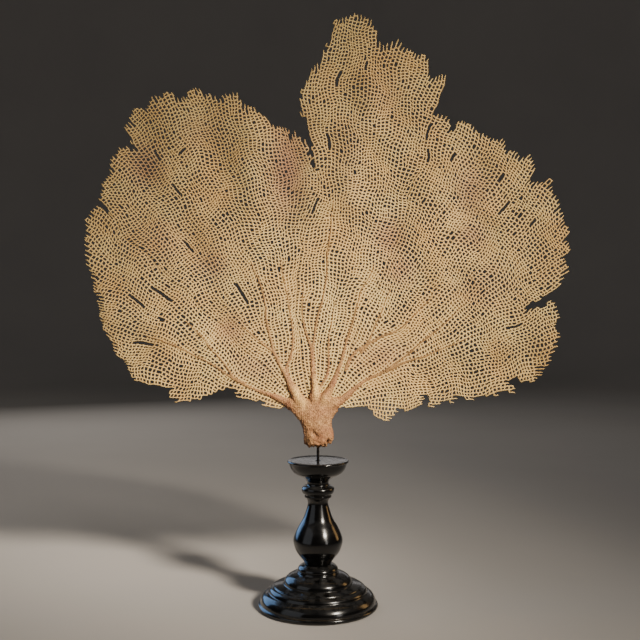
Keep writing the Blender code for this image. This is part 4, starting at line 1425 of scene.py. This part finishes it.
@dataclass
class CoralTrunk(Piece):
    """The trunk and the ribs that run out of it, grown together."""

    # Height, left, right and half depth from the broken foot upwards
    sections: Sequence[tuple[float, ...]] = (
        (143.4, -10.0, 5.5, 4.6), (145.6, -12.2, 12.0, 7.2), (149.5, -12.8, 13.4, 8.2),
        (154.0, -13.0, 14.3, 8.0), (158.5, -13.4, 13.4, 7.4), (164.0, -15.4, 11.7, 7.2),
        (169.0, -18.4, 12.7, 7.0), (173.0, -21.6, 15.6, 6.6),
    )
    # Inset from the root arc's ends, half depth and share of the arc's rise
    tops: Sequence[Triple] = ((2.0, 5.0, 0.4), (3.0, 3.4, 0.8), (5.0, 1.2, 1.12))
    dents: Sequence[Dent] = (
        Dent(-3.0, 155.5, 2.0, 4.2, 2.3, 0.2, lean=(0.75, 0.66)),
        Dent(9.4, 147.8, 1.3, 4.0, 3.0, 0.25, front_only=False),
        Dent(-10.5, 148.0, 2.0, 4.5, 1.0, 0.25),
    )
    top_base: float = 175.0
    voxel: float = 0.55
    trunk_sides: int = 32
    squareness: float = 0.8
    rib_step: float = 2.0
    rib_sides: int = 12
    rib_flatness: float = 0.86
    rib_end: float = 40.0
    rib_tip: float = 0.6
    rib_depth: float = 1.3
    rib_waver: float = 0.35
    # Steps back into the trunk, and the share of the first radius at each
    rib_root: Sequence[tuple[float, float]] = ((6.0, 0.35), (3.0, 0.85))
    # Size and pace of a rib's slow and quick swelling
    swelling: Sequence[tuple[float, float]] = ((0.07, 0.9), (0.05, 2.3))
    flare: float = 2.4
    flare_length: float = 8.0
    smooth_below: float = 204.0
    smooth_rounds_low: int = 7
    smooth_rounds: int = 2
    # The trunk's part of the surface: full at the foot, and gone at the first height
    low_span: Span = (184.0, -30.0)
    # Size and pace of each kind of relief, and the heights over which it comes in
    wave: tuple[float, float] = (0.55, 0.22)
    wave_above: float = 0.4
    grain: tuple[float, float] = (0.34, 0.62)
    flutes: tuple[float, float] = (0.5, 0.62)
    flute_span: Span = (158.0, 12.0)
    crumble: tuple[float, float] = (1.9, 0.42)
    crumble_shift: float = 40.0
    crumble_sink: float = 0.6
    crumble_span: Span = (151.0, -6.0)
    fibres: tuple[float, float] = (0.13, 3.4)
    fibre_sway: tuple[float, float] = (0.9, 0.6)
    fibre_span: Span = (156.0, 10.0)
    # Painted shade goes on what faces left, above the trunk; far is well out along the ribs
    left_shade_span: Span = (0.21875, 0.625)
    left_shade_from: Span = (176.0, 8.0)
    far_span: Span = (35.0, 60.0)
    # Painted highlights go where the rind faces the light from the right and the front
    lit_from_right: float = 0.9
    lit_span: Span = (0.2, 1.0)
    # Shares of brown at the foot, of painted shade on what faces left, and far out; then the far ribs' share
    # of the yellower tone
    brown_low: float = 0.1
    brown_left_shade: float = 1.15
    brown_far: float = 0.78
    far_rib_tone: float = 0.45

    def shape(self) -> bmesh.types.BMesh:
        """The trunk's sections from the broken foot to the root arc, and the ribs."""
        bm = bmesh.new()
        rings = [self._section(bm, left, right, depth, lambda x, z=height: z)
                 for height, left, right, depth in self.sections]
        for inset, depth, share in self.tops:
            left, right = ROOT_MIDDLE - ROOT_HALF_WIDTH + inset, ROOT_MIDDLE + ROOT_HALF_WIDTH - inset
            rings.append(self._section(bm, left, right, depth, lambda x, s=share:
                                       self.top_base + s * (root_height(x) - self.top_base)))
        skin(bm, rings)
        bmesh.ops.recalc_face_normals(bm, faces=bm.faces)
        for rib in RIBS:
            self._rib(bm, *rib)
        return bm

    def refine(self, piece: bpy.types.Object) -> None:
        """Grow trunk and ribs together, and give them the rind's surface."""
        remesh = piece.modifiers.new("grow_together", "REMESH")
        remesh.mode = "VOXEL"
        remesh.voxel_size = self.voxel * MM
        self._bake(piece)
        self._soften(piece)
        self._roughen(piece)
        piece.data.shade_smooth()

    @staticmethod
    def _bake(piece: bpy.types.Object) -> None:
        """Apply the piece's modifiers to its mesh."""
        graph = bpy.context.evaluated_depsgraph_get()
        mesh = bpy.data.meshes.new_from_object(piece.evaluated_get(graph))
        piece.modifiers.clear()
        old, piece.data = piece.data, mesh
        bpy.data.meshes.remove(old)

    def _section(self, bm: bmesh.types.BMesh, left: float, right: float, depth: float,
                 height: Callable[[float], float]) -> list[bmesh.types.BMEdge]:
        """One closed section of the trunk."""
        ring = bmesh.ops.create_circle(bm, cap_ends=False, segments=self.trunk_sides, radius=1.0)["verts"]
        for v in ring:
            x = (left + right) / 2 + (right - left) / 2 * v.co.x
            y = math.copysign(abs(v.co.y) ** self.squareness, v.co.y) * depth
            v.co = (x, y, height(x))
        return ring_edges(ring)

    def _rib(self, bm: bmesh.types.BMesh, name: str, start: float, end: float, thick: float,
             thin: float) -> None:
        """A tapering rib along its guide, closed at both ends.

        Args:
            bm: what it is added to.
            name: its guide.
            start: where it starts along the guide.
            end: where it fades.
            thick: its radius at the start.
            thin: its radius far out.
        """
        line = rib_line(name, start, end, self.rib_step)
        line = line + self.rib_waver * waver(line)
        along = np.arange(len(line)) * self.rib_step
        radii = thin + (thick - thin) / (1.0 + (along / RIB_HALF_LENGTH) ** RIB_TAPER)
        radii *= self.rib_tip + (1.0 - self.rib_tip) * ramp(along, (along[-1], -self.rib_end))
        if start == 0:
            radii += self.flare * np.exp(-along / self.flare_length)
            steps, shares = np.array(self.rib_root).T
            line = np.vstack([line[0] - (line[1] - line[0]) * steps[:, None], line])
            radii = np.concatenate([radii[0] * shares, radii])
        (slow, slow_pace), (quick, quick_pace) = self.swelling
        rings = []
        for k, (spot, depth, radius) in enumerate(zip(line, fold_depth(line), radii)):
            heading = line[min(k + 1, len(line) - 1)] - line[max(k - 1, 0)]
            turn = Matrix.Rotation(math.atan2(heading[0], heading[1]), 4, "Y")
            flat = Matrix.Diagonal((1.0, max(self.rib_flatness, self.rib_depth / radius), 1.0, 1.0))
            swell = 1.0 + slow * math.sin(k * slow_pace + len(name)) + quick * math.sin(k * quick_pace)
            place = Matrix.Translation((spot[0], depth, spot[1])) @ turn @ flat
            ring = bmesh.ops.create_circle(bm, cap_ends=False, segments=self.rib_sides,
                                           radius=radius * swell, matrix=place)["verts"]
            rings.append(ring_edges(ring))
        skin(bm, rings)

    def _soften(self, piece: bpy.types.Object) -> None:
        """Blend the ribs into the trunk, and take the steps off the thin ribs."""
        bm = bmesh.new()
        bm.from_mesh(piece.data)
        low = [v for v in bm.verts if v.co.z < self.smooth_below * MM]
        for verts, rounds in ((low, self.smooth_rounds_low), (bm.verts[:], self.smooth_rounds)):
            for _ in range(rounds):
                bmesh.ops.smooth_vert(bm, verts=verts, factor=0.5, use_axis_x=True, use_axis_y=True,
                                      use_axis_z=True)
        bm.to_mesh(piece.data)
        bm.free()

    @staticmethod
    def _noise(spots: np.ndarray, size: float, scale: float) -> np.ndarray:
        """Soft noise about zero at each place."""
        return size * np.array([noise.noise(Vector(spot)) for spot in spots * scale])

    def _relief(self, spots: np.ndarray, low: np.ndarray) -> np.ndarray:
        """How far the rind stands out or in at each place, without the dents.

        Args:
            spots: places on the surface.
            low: 1 at the foot, 0 above the trunk.

        Returns:
            One height for each place, in millimetres.
        """
        x, z = spots[:, 0], spots[:, 2]
        wave = self._noise(spots, *self.wave) * (self.wave_above + low)
        depth, pace = self.flutes
        flutes = -depth * np.cos((x - ROOT_MIDDLE) * pace) * ramp(z, self.flute_span) * low
        crumble = self._noise(spots + self.crumble_shift, *self.crumble) - self.crumble_sink
        (size, pace), (sway, sway_pace) = self.fibres, self.fibre_sway
        fibres = size * np.sin(x * pace + sway * np.sin(z * sway_pace)) * ramp(z, self.fibre_span)
        return (wave + self._noise(spots, *self.grain) + flutes + crumble * ramp(z, self.crumble_span)
                + fibres)

    def _roughen(self, piece: bpy.types.Object) -> None:
        """Press the dents and the uneven surface of dried rind into the mesh, and colour it, with painted
        shade and painted highlights.
        """
        mesh = piece.data
        spots, normals = np.empty((2, len(mesh.vertices) * 3))
        mesh.vertices.foreach_get("co", spots)
        mesh.vertices.foreach_get("normal", normals)
        spots, normals = spots.reshape(-1, 3) / MM, normals.reshape(-1, 3)
        low = ramp(spots[:, 2], self.low_span)
        pressed = [dent.pressed(spots) for dent in self.dents]
        spots = spots + normals * (self._relief(spots, low) - sum(pressed))[:, None]
        mesh.vertices.foreach_set("co", (spots * MM).ravel())
        plane = spots[:, [0, 2]]
        # Painted shade on what faces left, away from the light, above the trunk
        left_shade = ramp(-normals[:, 0], self.left_shade_span) * ramp(plane[:, 1], self.left_shade_from)
        far = ramp(root_distance(plane), self.far_span)
        brown = self.brown_low * low + self.brown_left_shade * left_shade + self.brown_far * far
        # Painted shade in the dents
        brown += sum(dent.stain_and_shade * press for dent, press in zip(self.dents, pressed))
        # Painted highlights near the trunk where the rind faces the light from the right; far out, the ribs'
        # own yellower tone
        lit = ramp(self.lit_from_right * normals[:, 0] - normals[:, 1], self.lit_span)
        highlight_and_far_tone = np.maximum(patches_at(plane, RIB_HIGHLIGHTS) * lit, self.far_rib_tone * far)
        for name, values in (("stain_and_shade", brown), ("highlight_and_far_tone", highlight_and_far_tone)):
            attribute = mesh.attributes.new(name, "FLOAT", "POINT")
            attribute.data.foreach_set("value", np.clip(values, 0.0, 1.0))
        mesh.update()


# The stand


@dataclass
class StandPiece(Piece):
    """A round piece with crisp edges that are lightly broken."""

    edge_round: float = 0.22

    def soften(self, bm: bmesh.types.BMesh, edges: list[bmesh.types.BMEdge]) -> None:
        """Break some edges with a small round."""
        bmesh.ops.bevel(bm, geom=edges, offset=self.edge_round, offset_type="OFFSET", segments=2,
                        profile=0.5, affect="EDGES", clamp_overlap=True, material=-1)

    def refine(self, piece: bpy.types.Object) -> None:
        """Keep the edges crisp where faces meet at an angle."""
        piece.data.set_sharp_from_angle(angle=SHARP_ANGLE)


@dataclass
class Turning(StandPiece):
    """A turned piece: runs of a half outline that are smooth, meeting at crisp edges."""

    runs: Sequence[Sequence[Point]] = ()
    segments: int = 128
    step: float = 0.7
    stub_share: float = 0.4
    weld: float = 0.0005
    # How level a ring edge is, how far off the axis, and how close to a crisp corner
    level: float = 1e-4
    off_axis: float = 1.0
    same_radius: float = 1e-3
    corner_reach: float = 0.02

    def shape(self) -> bmesh.types.BMesh:
        """The half outline, spun, with its crisp edges broken."""
        outline, crisp = self._outline()
        bm = spun(outline, self.segments, self.weld)
        bmesh.ops.recalc_face_normals(bm, faces=bm.faces)
        self.soften(bm, [edge for edge in bm.edges if self._on_crisp(edge, crisp)])
        return bm

    def _outline(self) -> tuple[list[Point], list[Point]]:
        """The half outline with its smooth runs filled in, and its crisp corners."""
        outline: list[Point] = []
        for run in self.runs:
            line = [tuple(p) for p in rounded(run, self.step)] if len(run) > 2 else [run[0]]
            if math.dist(line[-1], run[-1]) < self.step * self.stub_share and len(line) > 1:
                line.pop()
            outline.extend(line)
        outline.append(self.runs[-1][-1])
        return outline, [run[0] for run in self.runs[1:]]

    def _on_crisp(self, edge: bmesh.types.BMEdge, crisp: Sequence[Point]) -> bool:
        """Whether an edge runs round the piece at a crisp corner."""
        low, high = (v.co for v in edge.verts)
        here = (math.hypot(low.x, low.y), low.z)
        if abs(low.z - high.z) > self.level or here[0] < self.off_axis:
            return False
        same = abs(here[0] - math.hypot(high.x, high.y)) < self.same_radius
        return same and any(math.dist(here, corner) < self.corner_reach for corner in crisp)


@dataclass
class Pin(StandPiece):
    """The thin steel pin between dish and trunk."""

    edge_round: float = 0.25
    radius: float = 1.25
    low: float = 120.3
    high: float = 160.0
    segments: int = 32
    level: float = 1e-6

    def shape(self) -> bmesh.types.BMesh:
        """A round rod whose rims are broken."""
        bm = bmesh.new()
        bmesh.ops.create_cone(bm, cap_ends=True, segments=self.segments, radius1=self.radius,
                              radius2=self.radius, depth=self.high - self.low)
        bmesh.ops.translate(bm, vec=(0.0, 0.0, (self.high + self.low) / 2), verts=bm.verts)
        self.soften(bm, [edge for edge in bm.edges
                         if abs(edge.verts[0].co.z - edge.verts[1].co.z) < self.level])
        return bm


# The studio


@dataclass(frozen=True)
class Lamp:
    """A soft light that looks at a point: a round spot where it has a cone, or else a rectangle."""

    name: str
    place: Place
    aim: Place
    power: float
    colour: Triple
    size: float = 0.14
    tall: float | None = None
    cone: float | None = None
    on_matt: bool = True
    on_gloss: bool = True

    def build(self) -> None:
        """Hang the light."""
        light = bpy.data.lights.new(self.name, "SPOT" if self.cone else "AREA")
        if self.cone:
            light.spot_size = math.radians(self.cone)
            light.spot_blend = 1.0
            light.shadow_soft_size = self.size
        else:
            light.shape = "RECTANGLE"
            light.size = self.size
            light.size_y = self.tall or self.size
        light.energy = self.power
        light.color = self.colour
        lamp = linked(self.name, light)
        lamp.location = self.place
        lamp.rotation_euler = (Vector(self.aim) - Vector(self.place)).to_track_quat("-Z", "Y").to_euler()
        lamp.visible_camera = False
        lamp.visible_diffuse = self.on_matt
        lamp.visible_glossy = self.on_gloss


LAMPS = (
    Lamp("key", (0.85, -1.0, 0.95), (0.0, 0.0, 0.23), 66.0, (1.0, 0.91, 0.77), cone=40.0),
    Lamp("key_core", (0.85, -1.0, 0.95), (-0.04, 0.0, 0.205), 196.0, (1.0, 0.88, 0.73), cone=18.0),
    Lamp("fill", (-1.5, -1.1, 0.8), (0.0, 0.0, 0.3), 4.2, (0.9, 0.94, 1.0), 1.5),
    Lamp("streak", (0.7, -0.8, 0.45), (0.0, 0.0, 0.08), 1.4, (1.0, 0.95, 0.9), 0.18, 0.7),
    Lamp("behind", (-0.6, 1.3, 0.9), (0.0, 0.0, 0.25), 5.0, (1.0, 0.95, 0.9), 1.1, on_gloss=False),
    Lamp("rim", (-0.85, 0.8, 0.5), (0.0, 0.0, 0.1), 5.8, (0.3, 0.55, 1.0), 0.8, on_matt=False),
    Lamp("amber", (0.95, 0.3, 0.35), (0.0, 0.0, 0.08), 1.0, (1.0, 0.58, 0.22), 0.25, 0.4, on_matt=False),
    Lamp("back", (0.1, 2.0, 0.45), (0.0, 0.0, 0.13), 0.84, (1.0, 0.95, 0.93), 1.7, 0.24, on_matt=False),
)


@dataclass
class Studio:
    """Pale floor that sweeps up all round, soft lights and the camera, in metres."""

    floor_radius: float = 2.4
    floor_sides: int = 96
    floor_weld: float = 0.00001
    wall_bend: float = 1.2
    bend_steps: int = 12
    wall_height: float = 2.6
    sky: Colour = (1.0, 0.97, 0.94, 1.0)
    sky_strength: float = 0.08
    camera_place: Place = (0.0018, -0.855, 0.273)
    lens: float = 53.4
    sensor_width: float = 36.0
    horizon_shift: float = -17.0 / 640.0

    def build(self) -> None:
        """Set up floor, world, lights and camera."""
        self._floor()
        self._world()
        for lamp in LAMPS:
            lamp.build()
        self._camera()

    def _floor(self) -> None:
        """The floor and its sweep, spun from one outline."""
        outline = [(0.0, 0.0), (self.floor_radius, 0.0)]
        for k in range(1, self.bend_steps + 1):
            angle = math.pi / 2 * k / self.bend_steps
            outline.append((self.floor_radius + self.wall_bend * math.sin(angle),
                            self.wall_bend * (1.0 - math.cos(angle))))
        outline.append((self.floor_radius + self.wall_bend, self.wall_height))
        floor = link_mesh("studio_floor", spun(outline, self.floor_sides, self.floor_weld), unit=1.0)
        floor.data.materials.append(FloorFinish("studio_floor").build())

    def _world(self) -> None:
        """Dim even surroundings."""
        world = bpy.data.worlds.new("studio")
        bpy.context.scene.world = world
        world.use_nodes = True
        sky = {"Color": self.sky, "Strength": self.sky_strength}
        Graph(world.node_tree).feed(world.node_tree.nodes["Background"], sky)

    def _camera(self) -> None:
        """A level camera at the photograph's height and distance."""
        data = bpy.data.cameras.new("camera")
        data.lens = self.lens
        data.sensor_width = self.sensor_width
        data.shift_y = self.horizon_shift
        camera = linked("camera", data)
        camera.location = self.camera_place
        camera.rotation_euler = (math.radians(90.0), 0.0, 0.0)
        bpy.context.scene.camera = camera


def main() -> None:
    """Build every piece, then the studio."""
    logging.basicConfig(level=logging.INFO, format="%(name)s %(message)s")
    # The net's brown is painted shade on the strands' sides and in the openings
    net_rind = RindFinish(
        "net_rind", pale=(0.89, 0.68, 0.28, 1.0), warm=(0.81, 0.52, 0.19, 1.0),
        brown=(0.17, 0.08, 0.027, 1.0), stain_and_shade_colour=(0.36, 0.18, 0.11, 1.0), grain_scale=1500.0,
        relief=0.0002, grain_low=0.85, drift_scale=26.0, opening_shade_share=0.88).build()
    trunk_rind = RindFinish(
        "trunk_rind", pale=(0.44, 0.24, 0.1, 1.0), warm=(0.28, 0.12, 0.055, 1.0),
        brown=(0.24, 0.12, 0.06, 1.0), stain_and_shade_colour=(0.14, 0.068, 0.032, 1.0), grain_scale=1000.0,
        relief=0.0005, grain_low=0.15, drift_scale=80.0).build()
    lacquer = LacquerFinish("black_lacquer").build()
    Turning("turned_foot", "stand_foot", Slot.LACQUER, runs=FOOT_RUNS).build(lacquer)
    Turning("turned_stem", "stand_stem", Slot.LACQUER, runs=STEM_RUNS).build(lacquer)
    Pin("steel_pin", "pin", Slot.STEEL).build(SteelFinish("dark_steel").build())
    CoralTrunk("trunk_and_ribs", "trunk", Slot.TRUNK).build(trunk_rind)
    net = NetGrowth().grow()
    cut = NetCut(net)
    LOG.info("net of %d cells, %d kept", len(net.cells), int(cut.kept.sum()))
    borders = [name for name in GUIDES if name.startswith("fork") or name.endswith("edge")]
    nodes = ["branch_far_left", "branch_left", "branch_centre", "branch_right", "branch_far_right"]
    for node, first, last in zip(nodes, borders, borders[1:]):
        CoralBranch(node + "_net", node, Slot.NET, first, last, cut).build(net_rind)
    Studio().build()


if __name__ == "__main__":
    main()
    bpy.context.view_layer.update()
